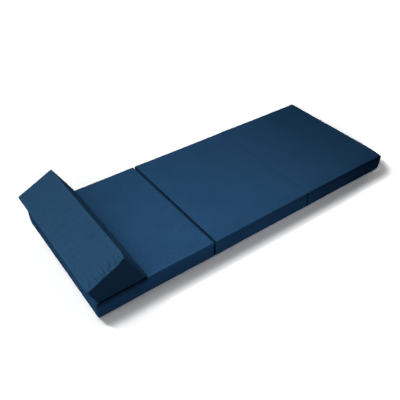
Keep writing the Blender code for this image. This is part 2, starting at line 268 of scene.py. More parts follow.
def seen_directly(tree):
    """1 for rays that show a thing to the camera, straight or in a gloss or through glass."""
    path = tree.nodes.new("ShaderNodeLightPath").outputs
    seen = maths(tree, "MAXIMUM", path["Is Camera Ray"], path["Is Glossy Ray"])
    return maths(tree, "MAXIMUM", seen, path["Is Transmission Ray"])


# %% Paint the floor
floor_material = bpy.data.materials.new("pale_floor")
floor_material.use_nodes = True
tree = floor_material.node_tree
tree.nodes.clear()
place = add(tree, "ShaderNodeTexCoord").outputs["Object"]

# What the lamps throw on an empty floor. A panel's light falls off with the slant at both ends and with the
# square of the distance, to which the spread is added: the mean square of how far a point of the panel lies
# from its middle.
PANEL_SPREAD = PANEL_SIZE**2 / 6
thrown = WORLD_STRENGTH + SUN_STRENGTH * SUN_FROM.normalized().z / math.pi
for spot, watts in PANELS_AT.values():
    spot = Vector(spot)
    aim = (spot - PANEL_AIM).normalized()
    ray = on_vectors(tree, "SUBTRACT", spot, place)
    away = maths(tree, "ADD", on_vectors(tree, "DOT_PRODUCT", ray, ray), PANEL_SPREAD)
    facing = maths(tree, "MAXIMUM", on_vectors(tree, "DOT_PRODUCT", ray, aim), 0.0)
    light = maths(tree, "MULTIPLY", facing, watts * spot.z / math.pi**2)
    thrown = maths(tree, "ADD", maths(tree, "DIVIDE", light, maths(tree, "POWER", away, 2.0)), thrown)

along, across, _ = parts_of(tree, place)
nearer = maths(tree, "SUBTRACT", NEAR_EDGE, across)
past_end = maths(tree, "MAXIMUM", maths(tree, "SUBTRACT", along, CORE_END), 0.0)
past_side = maths(tree, "MAXIMUM", maths(tree, "SUBTRACT", CORE_EDGE, across), 0.0)
reach = add(tree, "ShaderNodeCombineXYZ", {0: past_end, 1: past_side}).outputs[0]
reach = on_vectors(tree, "LENGTH", reach)
# Painted light: the floor's tone rises over the outer part of the shadow
amount = ranged(tree, nearer, PAINTED_LIFT_FAR, PAINTED_LIFT_NEAR, 0.0, PAINTED_LIFT)
painted_lift = ranged(tree, reach, PAINTED_LIFT_FROM, PAINTED_LIFT_TO, 0.0, amount, "SMOOTHSTEP")

# Painted shade at the head end and painted light at the foot end, along the line where the near side meets
# the floor
painted_contact = ranged(tree, along, -PAINTED_CONTACT_HALF, PAINTED_CONTACT_HALF, PAINTED_CONTACT_HEAD, PAINTED_CONTACT_FOOT)
painted_contact = ranged(tree, along, *PAINTED_CONTACT_PAST_FOOT, painted_contact, 1.0)
painted_contact = ranged(tree, along, *PAINTED_CONTACT_PAST_HEAD, 1.0, painted_contact)
painted_contact = ranged(tree, nearer, *PAINTED_CONTACT_UNDER, 1.0, painted_contact)
painted_contact = ranged(tree, nearer, 0.0, PAINTED_CONTACT_WIDTH, painted_contact, 1.0, "SMOOTHSTEP")

paint = maths(tree, "MULTIPLY", maths(tree, "ADD", painted_lift, painted_contact), FLOOR_SEEN)
paint = maths(tree, "MINIMUM", maths(tree, "DIVIDE", paint, thrown), FLOOR_MOST)
tone = mixed(tree, seen_directly(tree), (*[FLOOR_FELT] * 3, 1), paint)
matte = add(tree, "ShaderNodeBsdfDiffuse", {"Color": tone})
add(tree, "ShaderNodeOutputMaterial", {"Surface": matte.outputs[0]})
floor_mesh.materials.append(floor_material)
print("floor shows", FLOOR_SEEN, "and throws back", FLOOR_FELT)

# %% Set the world
world = bpy.data.worlds.new("world")
world.use_nodes = True
scene.world = world
tree = world.node_tree
strength = ranged(tree, seen_directly(tree), 0.0, 1.0, WORLD_STRENGTH, 1.0)
background = tree.nodes["Background"]
background.inputs["Color"].default_value = (1, 1, 1, 1)
tree.links.new(strength, background.inputs["Strength"])
print("the world gives", WORLD_STRENGTH, "and shows white")

# %% [markdown]
# ## Woven cloth
# The covers are a matte plain weave. Up close each thread passes over and under the next, and some threads
# have thick places, called slubs, which are what the eye catches from a distance. Lint clings to it in tiny
# pale specks. Thousands of threads could be modelled, but a height pattern under the light gives the same
# look, so the weave is a node group. It takes a place on the cloth in metres, which each panel has as a map.

# %% A node group for the weave
weave, given, result = new_group(
    "plain_weave",
    [("Place", "NodeSocketVector", None), ("Pitch", "NodeSocketFloat", 0.0009)],
    [("Height", "NodeSocketFloat"), ("Slub", "NodeSocketFloat"), ("Lint", "NodeSocketFloat")],
)
SLUB_LONG, SLUB_THIN, SLUB_RANGE = 60.0, 620.0, (0.60, 0.78)
LINT_SCALE, LINT_RANGE = 170.0, (0.60, 0.74)
CROSSING_SOFT = 0.4

parts = parts_of(weave, given["Place"])
turns = [maths(weave, "DIVIDE", maths(weave, "MULTIPLY", parts[i], math.pi), given["Pitch"]) for i in (0, 1)]
waves = [maths(weave, "SINE", turn) for turn in turns]
threads = [maths(weave, "POWER", maths(weave, "COSINE", turn), 2.0) for turn in turns]
crossing = ranged(weave, maths(weave, "MULTIPLY", *waves), -CROSSING_SOFT, CROSSING_SOFT)
over = maths(weave, "MULTIPLY", threads[0], crossing)
under = maths(weave, "MULTIPLY", threads[1], maths(weave, "SUBTRACT", 1.0, crossing))
slubs = []
for stretch in ((SLUB_LONG, SLUB_THIN, 1.0), (SLUB_THIN, SLUB_LONG, 1.0)):
    drawn = on_vectors(weave, "MULTIPLY", given["Place"], stretch)
    slubs.append(ranged(weave, noise(weave, drawn, scale=1.0, detail=2.0), *SLUB_RANGE))
slub = maths(weave, "MAXIMUM", *slubs)
specks = noise(weave, given["Place"], LINT_SCALE, detail=3.0, roughness=0.6)
lint = ranged(weave, specks, *LINT_RANGE)
height = maths(weave, "ADD", maths(weave, "MULTIPLY", maths(weave, "ADD", over, under), 0.5), slub)
for label, value in (("Height", height), ("Slub", slub), ("Lint", lint)):
    weave.links.new(value, result[label])
print("the weave group has", len(weave.nodes), "nodes")

# %% [markdown]
# Cloth wears first where it bends: along seams the dye rubs thin and the nap lifts. The panels carry an
# attribute that is 1 at a seam and fades into the panel, and this group breaks it up with noise. Handling
# also leaves broad, faint patches and small, faint spots, so a second output varies over the whole cloth.

# %% A node group for wear and patches
wear, given, result = new_group(
    "cloth_wear",
    [("Place", "NodeSocketVector", None), ("Seam", "NodeSocketFloat", 0.0)],
    [("Wear And Highlight", "NodeSocketFloat"), ("Patch", "NodeSocketFloat")],
)
RUB_SCALE, RUB_RANGE = 70.0, (0.35, 0.70)
PATCH_SCALE, PATCH_RANGE, PATCH_TO = 5.5, (0.30, 0.70), (0.2, 0.8)
MOTTLE_SCALE, MOTTLE_RANGE, MOTTLE = 115.0, (0.32, 0.68), 0.58

broken = noise(wear, given["Place"], RUB_SCALE, detail=4.0, roughness=0.65)
# On the wedge the seam attribute also carries a painted highlight on the ridges of its folds, besides wear
wear_and_highlight = maths(wear, "MULTIPLY", given["Seam"], ranged(wear, broken, *RUB_RANGE))
broad = noise(wear, given["Place"], PATCH_SCALE, detail=5.0, roughness=0.55)
small = noise(wear, given["Place"], MOTTLE_SCALE, detail=2.0, roughness=0.6)
patch = ranged(wear, broad, *PATCH_RANGE, *PATCH_TO)
patch = maths(wear, "ADD", patch, ranged(wear, small, *MOTTLE_RANGE, -MOTTLE, MOTTLE))
wear.links.new(wear_and_highlight, result["Wear And Highlight"])
wear.links.new(patch, result["Patch"])
print("the wear group has", len(wear.nodes), "nodes")

# %% [markdown]
# Painted light also makes the colour drift slowly over the width, lighter towards the near side and darker
# towards the far side, most of all at the head end, and painted shade makes the foot end darker. Painted
# shade also deepens the colour where two blocks press against each other, where the wedge stands on the head
# section and in strips beside them. Each point carries how much painted shade it gets, and that is what makes
# the creases read as dark lines. The bands along the near and the far side get a bluer tint of painted shade.

# %% A node group for the painted light gradient
PAINTED_LIGHT_HEAD, PAINTED_LIGHT_FOOT, PAINTED_LIGHT_ALONG = 0.39, 0.19, (-0.5, 0.9)
PAINTED_LIGHT_HALF = 0.5
PAINTED_FOOT_SHADE, PAINTED_FOOT_SHADE_ALONG = 0.31, (0.2, 1.0)
# Painted shade: the colour that shaded points are mixed towards, and how far at most
PAINTED_SHADE_COLOUR, PAINTED_SHADE_MOST = (0.0015, 0.0045, 0.0100), 0.90
# Painted shade tint: the long sides are made bluer
SIDE_SHADE_TINT = (0.97, 1.0, 1.13)

painted_light, given, result = new_group(
    "painted_light_gradient",
    [("Colour", "NodeSocketColor", (0.5, 0.5, 0.5, 1)), ("Painted Light", "NodeSocketFloat", 1.0)],
    [("Colour", "NodeSocketColor")],
)
along, across, _ = parts_of(painted_light, add(painted_light, "ShaderNodeTexCoord").outputs["Object"])
# Painted shade: the foot end is darker
foot_end = ranged(painted_light, along, *PAINTED_FOOT_SHADE_ALONG, 1.0, 1.0 - PAINTED_FOOT_SHADE, "SMOOTHSTEP")
# Painted light: lighter towards the near side and darker towards the far side, most of all at the head end
share = ranged(painted_light, along, *PAINTED_LIGHT_ALONG, PAINTED_LIGHT_HEAD, PAINTED_LIGHT_FOOT)
share = maths(painted_light, "MULTIPLY", share, given["Painted Light"])
painted_lit_side = maths(painted_light, "MULTIPLY", ranged(painted_light, across, -PAINTED_LIGHT_HALF, PAINTED_LIGHT_HALF, 1.0, -1.0), share)
painted_light_factor = maths(painted_light, "MULTIPLY", maths(painted_light, "ADD", painted_lit_side, 1.0), foot_end)
painted_light.links.new(on_vectors(painted_light, "SCALE", given["Colour"], painted_light_factor), result["Colour"])
print("the head end fades by", round(100 * PAINTED_LIGHT_HEAD / PAINTED_LIGHT_HALF), "in a hundred for each metre across")


# %% A cloth material from the groups
SLUB_PALE, LINT_PALE, RUB_PALE, RUB_SMOOTH = 0.42, 0.50, 0.30, 0.10
WEAVE_DEEP, WEAVE_STRENGTH = 0.00022, 0.5
SHEEN_ROUGH, SHEEN_TINT = 0.5, (0.25, 0.55, 1.0, 1)


def cloth_material(name, dark, light, worn, pitch, roughness, sheen, from_map=True, painted_light_share=1.0):
    """Woven cloth that varies between two colours, paler on slubs, lint and seams, with painted light and
    shade.
    """
    material, tree, shader = new_material(name)
    if from_map:
        place = add(tree, "ShaderNodeUVMap", uv_map="cloth").outputs[0]
    else:
        x, _, z = parts_of(tree, add(tree, "ShaderNodeTexCoord").outputs["Object"])
        place = add(tree, "ShaderNodeCombineXYZ", {0: x, 1: z}).outputs[0]
    facts = [add(tree, "ShaderNodeAttribute", attribute_name=fact) for fact in ("seam", "painted_shade", "band")]
    seam, painted_shade, band = (fact.outputs["Fac"] for fact in facts)
    woven = placed(tree, weave, {"Place": place, "Pitch": pitch})
    used = placed(tree, wear, {"Place": place, "Seam": seam})
    colour = mixed(tree, used["Patch"], (*dark, 1), (*light, 1))
    for mask, share in ((woven["Slub"], SLUB_PALE), (woven["Lint"], LINT_PALE), (used["Wear And Highlight"], RUB_PALE)):
        colour = mixed(tree, maths(tree, "MULTIPLY", mask, share), colour, (*worn, 1))
    # Painted light and shade: lighter towards the near side, darker towards the far side and the foot end
    colour = placed(tree, painted_light, {"Colour": colour, "Painted Light": painted_light_share})["Colour"]
    # A bluer painted shade tint on the long sides
    colour = mixed(tree, band, colour, on_vectors(tree, "MULTIPLY", colour, SIDE_SHADE_TINT))
    # Painted shade: points in creases, under and beside the wedge, high on the long sides and beside folds go
    # darker
    colour = mixed(tree, maths(tree, "MULTIPLY", painted_shade, PAINTED_SHADE_MOST), colour, (*PAINTED_SHADE_COLOUR, 1))
    tree.links.new(colour, shader.inputs["Base Color"])
    rough = ranged(tree, used["Wear And Highlight"], 0.0, 1.0, roughness, roughness - RUB_SMOOTH)
    tree.links.new(rough, shader.inputs["Roughness"])
    inputs = {"Height": woven["Height"], "Distance": WEAVE_DEEP, "Strength": WEAVE_STRENGTH}
    tree.links.new(add(tree, "ShaderNodeBump", inputs).outputs[0], shader.inputs["Normal"])
    shader.inputs["Sheen Weight"].default_value = sheen
    shader.inputs["Sheen Roughness"].default_value = SHEEN_ROUGH
    shader.inputs["Sheen Tint"].default_value = SHEEN_TINT
    shader.inputs["Specular IOR Level"].default_value = 0.0
    return material


NAVY_DARK = (0.0189, 0.0662, 0.1480)
NAVY_LIGHT = (0.0243, 0.0803, 0.1743)
NAVY_WORN = (0.0440, 0.1280, 0.2450)
cover_cloth = cloth_material(
    "navy_cover_cloth", NAVY_DARK, NAVY_LIGHT, NAVY_WORN, pitch=0.0009, roughness=0.92, sheen=0.015
)
WEDGE_DARK = (0.0173, 0.0561, 0.1142)
WEDGE_LIGHT = (0.0223, 0.0681, 0.1345)
wedge_cloth = cloth_material(
    "navy_wedge_cloth", WEDGE_DARK, WEDGE_LIGHT, NAVY_WORN, pitch=0.0009, roughness=0.92, sheen=0.015,
    painted_light_share=0.8
)
HINGE_DARK = (0.0166, 0.0609, 0.1386)
HINGE_LIGHT = (0.0209, 0.0735, 0.1617)
hinge_cloth = cloth_material(
    "navy_hinge_cloth", HINGE_DARK, HINGE_LIGHT, NAVY_WORN, pitch=0.0007, roughness=0.93, sheen=0.01
)
TAPE_DARK = (0.0090, 0.0230, 0.0480)
TAPE_LIGHT = (0.0120, 0.0300, 0.0600)
TAPE_WORN = (0.0300, 0.0550, 0.0950)
tape_cloth = cloth_material(
    "navy_zip_tape", TAPE_DARK, TAPE_LIGHT, TAPE_WORN, pitch=0.0005, roughness=0.88, sheen=0.01
)
print("cloth materials:", cover_cloth.name, wedge_cloth.name, hinge_cloth.name, tape_cloth.name)

# %% [markdown]
# ## The shape of a covered block
# A boxed cushion has six panels that meet in seams along its edges. The top is crowned, because foam pushes
# up in the middle and the seams hold the cloth down, and the sides pull in between the corners. It could
# be a cube with a bevel, but then the mesh is coarse where the cloth bends and fine where it is flat. Here
# the mesh is laid out like a pattern: rows of points run round the edges and get wider over the flats.

# %% Sizes of the blocks, as the CAD model has them
SECTION_LENGTH, SECTION_WIDTH, SECTION_HEIGHT = 0.660, 0.800, 0.100
SECTION_EDGE, WEDGE_EDGE = 0.008, 0.0048
HEAD_CREASE, FOOT_CREASE = 0.004, 0.002
WEDGE_BASE = WEDGE_BACK = 0.220
WEDGE_FRONT = SECTION_HEIGHT - 0.001
WEDGE_SET_BACK, WEDGE_REST_GAP = 0.0134, 0.0004
ZIP_SLIT, WEDGE_ZIP_RISE = 0.012, 0.045
CLOTH = 0.0012

# How the cloth departs from that: how far the sides and ends draw in between the corners, and how far the
# open crease opens towards its ends. Then the cells of the mesh.
SIDE_DRAW, END_DRAW = 0.0015, 0.0010
CREASE_OPENS = 0.0026
SECTION_CELL, WEDGE_CELL = 0.011, 0.009


def section_outline(start):
    """The side view of a section, anticlockwise from its lower head-end corner."""
    end = start + SECTION_LENGTH
    return np.array([(start, 0), (end, 0), (end, SECTION_HEIGHT), (start, SECTION_HEIGHT)])


MIDDLE_START = -SECTION_LENGTH / 2
HEAD_START = MIDDLE_START - HEAD_CREASE - SECTION_LENGTH
FOOT_START = -MIDDLE_START + FOOT_CREASE
slope = math.atan2(WEDGE_BACK - WEDGE_FRONT, WEDGE_BASE)
lean = np.array((-math.sin(slope), math.cos(slope)))
toe = np.array((HEAD_START + WEDGE_SET_BACK, SECTION_HEIGHT + WEDGE_REST_GAP))
heel = toe + (math.hypot(WEDGE_BACK - WEDGE_FRONT, WEDGE_BASE), 0)

# The wedge has settled a little: how far each corner has moved, from its toe round to its front edge
WEDGE_SETTLED = np.array([(0, 0), (0.009, 0), (0.014, -0.004), (0.004, 0.006)])
wedge_outline = np.array([toe, heel, heel + lean * WEDGE_BACK, toe + lean * WEDGE_FRONT]) + WEDGE_SETTLED

# Corners and edges that are rounder than the rest: from which corner of the side view to which, on the near
# or the far side, how deep and how wide
TUCKS = {
    "head": [(3, 3, -1, 0.0015, 0.014), (3, 3, 1, 0.0015, 0.014), (0, 0, -1, 0.0020, 0.016),
             (0, 0, 1, 0.0020, 0.016)],
    "middle": [],
    "foot": [(1, 2, -1, 0.0075, 0.055), (1, 1, -1, 0.0065, 0.028), (2, 2, -1, 0.0030, 0.040),
             (1, 1, 1, 0.0030, 0.020), (2, 2, 1, 0.0008, 0.012)],
    "wedge": [(1, 2, -1, 0.0110, 0.032), (2, 2, 1, 0.0016, 0.014), (3, 3, -1, 0.0016, 0.014),
              (3, 3, 1, 0.0016, 0.014)],
}


def section(block, start, crown, opens=(0.0, 0.0)):
    """What makes a section: where it starts, how far its top is crowned and how far each end opens."""
    return dict(outline=section_outline(start), edge=SECTION_EDGE, crown=crown, cell=SECTION_CELL,
                zip_height=SECTION_HEIGHT / 2, opens=opens, tucks=TUCKS[block])


BLOCKS = {
    "head": section("head", HEAD_START, crown=0.0032, opens=(0.0, CREASE_OPENS)),
    "middle": section("middle", MIDDLE_START, crown=0.0025, opens=(CREASE_OPENS, 0.0)),
    "foot": section("foot", FOOT_START, crown=0.0012),
    "wedge": dict(outline=wedge_outline, edge=WEDGE_EDGE, crown=0.0012, cell=WEDGE_CELL,
                  zip_height=toe[1] + WEDGE_ZIP_RISE, opens=(0.0, 0.0), tucks=TUCKS["wedge"]),
}
BODY_OF = {"head": "head_section", "middle": "middle_section", "foot": "foot_section", "wedge": "wedge"}
print("the wedge slopes by", round(math.degrees(slope), 2), "degrees")


# %% Rows of points along one direction of a block
TURN_STEPS = 3
CLOSE_ROWS = (0.0, 0.003, 0.008)


def stations(length, cell):
    """Shares of a length and how far the surface has turned there: -1 to 0 round the first edge, 0 over the
    flat, 0 to 1 round the last edge."""
    turns = [step / TURN_STEPS - 1 for step in range(TURN_STEPS)]
    close = [row / length for row in CLOSE_ROWS]
    count = max(2, round((length - 2 * CLOSE_ROWS[-1]) / cell))
    inner = np.linspace(close[-1], 1 - close[-1], count + 1)[1:-1]
    flat = close + list(inner) + [1 - share for share in reversed(close)]
    shares = [0.0] * TURN_STEPS + flat + [1.0] * TURN_STEPS
    return np.array(shares), np.array(turns + [0.0] * len(flat) + [-turn for turn in reversed(turns)])


def moved_in(outline, distance):
    """An outline with each side moved inwards."""
    moved = []
    for i, corner in enumerate(outline):
        before = corner - outline[i - 1]
        after = outline[(i + 1) % len(outline)] - corner
        first, second = (np.array((-d[1], d[0])) / np.hypot(*d) for d in (before, after))
        moved.append(corner + (first + second) * distance / (1 + first @ second))
    return np.array(moved)


section_rows = stations(SECTION_LENGTH - 2 * SECTION_EDGE, SECTION_CELL)[0]
print("a section has", len(section_rows), "rows along its length")


# %% The grid on the six faces of a block
PANELS = ("bottom", "top", "near", "far", "head_end", "foot_end", "tape", "far_lower", "far_upper")
FACES = {"a": ("head_end", "foot_end"), "b": ("near", "far"), "c": ("bottom", "top")}


def shell_points(axes):
    """The points of a box-shaped grid that lie on its faces: their numbers in the grid, and the shares and
    the turns of each along the three axes."""
    counts = [len(shares) for shares, _ in axes]
    shell = np.zeros(counts, bool)
    for axis in range(3):
        shell[(slice(None),) * axis + (0,)] = True
        shell[(slice(None),) * axis + (-1,)] = True
    index = -np.ones(counts, int)
    index[shell] = np.arange(shell.sum())
    places = np.argwhere(shell)
    share, turn = (np.stack([axes[n][kind][places[:, n]] for n in range(3)], axis=1) for kind in (0, 1))
    return index, share, turn


def face_quads(index, slit_rows):
    """The quads on the faces of a grid, and the panel that each is part of. The zip's tape lies between two
    rows of the far side."""
    quads, panel = [], []
    for axis, letter in enumerate("abc"):
        for end, name in zip((0, -1), FACES[letter]):
            sheet = index.take(end, axis=axis)
            one, two = sheet[:-1, :-1], sheet[1:, :-1]
            three, four = sheet[1:, 1:], sheet[:-1, 1:]
            order = (one, two, three, four) if (end == -1) != (letter == "b") else (four, three, two, one)
            quads.append(np.stack(order, axis=-1).reshape(-1, 4))
            kinds = np.full(one.shape, PANELS.index(name))
            if name == "far":
                level = np.arange(one.shape[1])
                kinds[:, level < slit_rows[0]] = PANELS.index("far_lower")
                kinds[:, (level >= slit_rows[0]) & (level < slit_rows[1])] = PANELS.index("tape")
                kinds[:, level >= slit_rows[1]] = PANELS.index("far_upper")
            panel.append(kinds.ravel())
    return np.concatenate(quads), np.concatenate(panel)


print("the six faces have", len(PANELS) - 1, "panels, because the far side has three")

# %% Rounded edges and tucked corners
EDGE_POWER = 3.5
TUCK_WAYS = (1, 0.3, 1)


def side_normals(core):
    """The way that each side of a block faces: -a and +a are its ends, -b and +b its near and far side, and
    -c and +c its bottom and top."""
    normals = {"-b": np.array((0, -1.0, 0)), "+b": np.array((0, 1.0, 0))}
    for side, (start, end) in {"-c": (0, 1), "+a": (1, 2), "+c": (2, 3), "-a": (3, 0)}.items():
        d = core[end] - core[start]
        normals[side] = np.array((d[1], 0, -d[0])) / np.hypot(*d)
    return normals


def rounded(turn, normals):
    """Which way each point stands out from the core of a block, and how far, in edge radii."""
    lift = np.zeros(turn.shape)
    for n, letter in enumerate("abc"):
        weight = np.tan(math.pi / 4 * turn[:, n])
        lift += np.outer(np.clip(weight, 0, 1), normals["+" + letter])
        lift += np.outer(np.clip(-weight, 0, 1), normals["-" + letter])
    push = abs(np.tan(math.pi / 4 * turn))
    crisp = np.linalg.norm(push, axis=1) / np.linalg.norm(push, ord=EDGE_POWER, axis=1)
    return lift * (crisp / np.linalg.norm(lift, axis=1))[:, None]


def tucked(points, outline, tucks):
    """Points that are drawn in towards the middle of the block near some of its corners and edges."""
    middle = np.array((*outline.mean(axis=0), 0))[[0, 2, 1]]
    for first, last, side, depth, reach in tucks:
        one, two = (np.array((outline[n][0], side * SECTION_WIDTH / 2, outline[n][1])) for n in (first, last))
        line = two - one
        along = np.clip((points - one) @ line / max(line @ line, 1e-9), 0, 1)
        inward = (middle - (one + two) / 2) * TUCK_WAYS
        inward /= np.linalg.norm(inward)
        gap = np.linalg.norm(points - one - along[:, None] * line, axis=1)
        points = points + inward * (depth * np.exp(-((gap / reach) ** 2)))[:, None]
    return points


print("edges are rounded to the power", EDGE_POWER)

# %% The points and panels of a whole block
SLIT_SHARES = (0.36, 0.64)
OPENS_FROM = 0.80


def block_grid(outline, edge, crown, cell, zip_height, opens, tucks, inset=0.0):
    """The closed surface of a block as points, quads, the panel of each quad, for every point its share of
    the length, width and height and its distance round to the block's edges along each, and its normals."""
    core = moved_in(outline, edge)
    half = SECTION_WIDTH / 2 - edge
    length = np.hypot(*(core[1] - core[0]))
    tall = (np.hypot(*(core[3] - core[0])) + np.hypot(*(core[2] - core[1]))) / 2
    sizes = (length, 2 * half, tall)
    axes = [stations(size, cell) for size in sizes]
    slit_rows = [int(np.argmin(abs(axes[2][0] - at))) for at in SLIT_SHARES]
    low, high = axes[2][0][slit_rows]
    index, share, turn = shell_points(axes)

    lower = core[0] + (core[1] - core[0]) * share[:, :1]
    upper = core[3] + (core[2] - core[3]) * share[:, :1]
    rise = upper[:, 1] - lower[:, 1] - crown
    slit = [(zip_height + side * ZIP_SLIT / 2 - lower[:, 1]) / rise for side in (-1, 1)]
    up = share[:, 2]
    up = np.interp(up, [0, low], [0, 1]) * slit[0] \
        + np.interp(up, [low, high], [0, 1]) * (slit[1] - slit[0]) \
        + np.interp(up, [high, 1], [0, 1]) * (1 - slit[1])
    share[:, 2] = up
    flat = lower + (upper - lower) * up[:, None]
    a, b = 2 * share[:, 0] - 1, 2 * share[:, 1] - 1
    normals = side_normals(core)
    points = np.stack([flat[:, 0], b * half, flat[:, 1]], axis=1) + rounded(turn, normals) * (edge - inset)

    stand = (upper - lower) / np.linalg.norm(upper - lower, axis=1)[:, None]
    hollow = (1 - (1 - a**8) * (1 - b**8)) * up * crown
    lengthwise = (core[1] - core[0]) / length
    drawn = a * END_DRAW * (1 - b**2)
    points[:, 0] -= stand[:, 0] * hollow + lengthwise[0] * drawn
    points[:, 2] -= stand[:, 1] * hollow + lengthwise[1] * drawn
    points[:, 1] -= b * SIDE_DRAW * (1 - a**2)
    for side, opening in zip((-1, 1), opens):
        points[:, 0] -= side * opening * np.clip((side * a - OPENS_FROM) / (1 - OPENS_FROM), 0, 1) ** 2
    points = tucked(points, outline, tucks)

    quarter = math.pi / 4 * (edge - inset)
    over_flat = quarter + np.minimum(share, 1 - share) * sizes
    arcs = np.where(turn != 0, (1 - abs(turn)) * quarter, over_flat)
    return points, *face_quads(index, slit_rows), share, arcs, normals


sample = block_grid(**BLOCKS["middle"])
print("a section's pattern has", len(sample[0]), "points and", len(sample[1]), "quads")

# %% What each cover presses against
LOWEST = 0.0003
FOLDED_TOP, FOLDED_SOFTNESS = 0.1002, 0.0005
WEDGE_LOWEST, HEAD_HIGHEST, RISE_PAST_HEEL = toe[1] - 0.0001, SECTION_HEIGHT + 0.0001, 0.08
FAR_OFF = 9.0
ENDS = {
    "head": (-FAR_OFF, HEAD_START + SECTION_LENGTH),
    "middle": (MIDDLE_START, -MIDDLE_START),
    "foot": (FOOT_START, FAR_OFF),
    "wedge": (-FAR_OFF, FAR_OFF),
}


def pressed(block, points):
    """Keeps a cover off its neighbours: it lies flat on the floor, against the next block and under the
    wedge, and leaves room for the foot section when that is folded over the middle one."""
    points = points.copy()
    points[:, 0] = np.clip(points[:, 0], *ENDS[block])
    points[:, 2] = np.maximum(points[:, 2], WEDGE_LOWEST if block == "wedge" else LOWEST)
    if block in ("middle", "foot"):
        room = FOLDED_TOP - points[:, 2]
        points[:, 2] = FOLDED_TOP - FOLDED_SOFTNESS * np.logaddexp(0, room / FOLDED_SOFTNESS)
    if block == "head":
        beyond = np.maximum(points[:, 0] - wedge_outline[1][0], 0)
        points[:, 2] = np.minimum(points[:, 2], HEAD_HIGHEST + RISE_PAST_HEEL * beyond)
    return points


print("covers rest at least", LOWEST * 1000, "mm over the floor")

# %% [markdown]
# Painted shade darkens the upper part of a face that looks at another block, the cloth under the wedge, and
# narrow strips beside them. Each strip has a place where it starts and one where it is darkest, so that all
# of them are written alike, as products of straight lines between such places.

# %% Where shade is painted
# Painted shade on the near and the far panel of the wedge
WEDGE_SIDE_SHADE = 0.35

# Each pair is where a strip of painted shade starts and where it is darkest: RIM is out from the middle line,
# FACE is in from an end of the block, TOP and UP are heights, and HEEL is along from the heel of the wedge.
# OPEN and SHUT are the two kinds of crease. A single number is how dark the painted shade gets.
RIM, RIM_END = (0.386, 0.394), (0.3985, 0.394)
OPEN_FACE, OPEN_TOP = (0.0045, 0.0020), (0.0960, 0.0910)
OPEN_LIP, OPEN_LIP_TOP = (0.0120, 0.0085), (0.0985, 0.0950)
FACE_UP = (0.082, 0.090)
SHUT, SHUT_FACE, SHUT_TOP = 0.8, (0.0050, 0.0025), (0.0970, 0.0940)
LIP, LIP_OUT, LIP_UP, LIP_ALONG = 0.65, (0.384, 0.392), (0.085, 0.090), (-0.2, 0.5)
BAND_SHADES, BAND_ALONG = ((0.35, (0.045, 0.097)), (0.60, (0.080, 0.096))), (-0.4, 0.4)
HEAD_BAND_SHADES = ((1.0, (0.086, 0.093)), (0.8, (0.058, 0.092)))
HEEL, HEEL_RIM, HEEL_BAND, HEEL_TOP = (-0.004, -0.009), (-0.020, -0.014), (0.0, -0.006), (0.0885, 0.0935)
TOE_COVERED = (toe[0] + 0.002, toe[0] + 0.006)
WEDGE_HEEL, WEDGE_UNDER = (-0.016, -0.008), (toe[1] + 0.0060, toe[1] + 0.0020)
BESIDE_HEEL, BESIDE_DRIFT, BESIDE_REACH = 0.22, 0.4, 0.075


def between(values, start, end):
    """0 at one value and before it, 1 at another and beyond it, and a straight line from one to the other."""
    return np.clip((values - start) / (end - start), 0, 1)


def strongest(heights, shades):
    """The strongest of several shades, each with the heights where it starts and where it is full."""
    return np.maximum.reduce([depth * between(heights, *places) for depth, places in shades])


def painted_shade_share(block, points, band):
    """How strongly painted shade darkens each point of a cover, from 0 to 1. Bands are the long sides."""
    x, y, z = points.T
    rim = between(abs(y), *RIM)
    past_heel = x - wedge_outline[1][0]
    if block == "wedge":
        rim = np.maximum(rim, between(past_heel, *WEDGE_HEEL))
        return np.maximum(rim * between(z, *WEDGE_UNDER), WEDGE_SIDE_SHADE * band)

    low, high = ENDS[block]
    facing = between(high - x, *OPEN_FACE) * between(z, *OPEN_TOP)
    facing = np.maximum(facing, between(x - low, *OPEN_LIP) * between(z, *OPEN_LIP_TOP))
    share = facing * np.maximum(rim, between(z, *FACE_UP)) * between(abs(y), *RIM_END)
    if not band and block in ("middle", "foot"):
        # Painted shade along the near edge of the top of the middle and foot sections
        share = np.maximum(share, LIP * between(-y, *LIP_OUT) * between(z, *LIP_UP) * between(x, *LIP_ALONG))
    to_shut = {"middle": high - x, "foot": x - low}.get(block)
    if to_shut is not None:
        share = np.maximum(share, SHUT * rim * between(to_shut, *SHUT_FACE) * between(z, *SHUT_TOP))
    if band:
        # Painted shade on the upper part of the long sides, under the top seam
        share = np.maximum(share, strongest(z, BAND_SHADES) * between(x, *BAND_ALONG))
    if block == "head" and band:
        share = np.maximum(share, strongest(z, HEAD_BAND_SHADES) * between(past_heel, *HEEL_BAND))
    # Painted shade under the wedge, and a painted shadow of it on the head section's top
    if block == "head" and not band:
        covered = between(past_heel, *HEEL) * np.maximum(rim, between(past_heel, *HEEL_RIM))
        covered *= between(x, *TOE_COVERED)
        beside = (BESIDE_HEEL + BESIDE_DRIFT * y) * np.exp(-abs(past_heel) / BESIDE_REACH)
        share = np.maximum(share, np.maximum(covered, beside) * between(z, *HEEL_TOP))
    return share


print("the long sides of the wedge are darker by", WEDGE_SIDE_SHADE)

# %% [markdown]
# ## Turning rows into soft cloth
# A sewn cover has three things that a plain block hasn't. The seam sinks into a groove, the cloth beside it
# gathers into puckers, and the whole cover is a little larger than the foam, so that it lies in low waves.
# The first two are moved point by point, because they are narrower than the cells of a simulation.


# %% Meshes from arrays, and back
def quads_mesh(name, points, quads):
    """A mesh from an array of points and an array of quads."""
    mesh = bpy.data.meshes.new(name)
    mesh.from_pydata(points.tolist(), [], quads.tolist())
    mesh.update()
    return mesh


def read(data, field, width, kind=np.float32):
    """One field of every element of a mesh, as an array."""
    values = np.zeros(len(data) * width, kind)
    data.foreach_get(field, values)
    return values.reshape(-1, width) if width > 1 else values


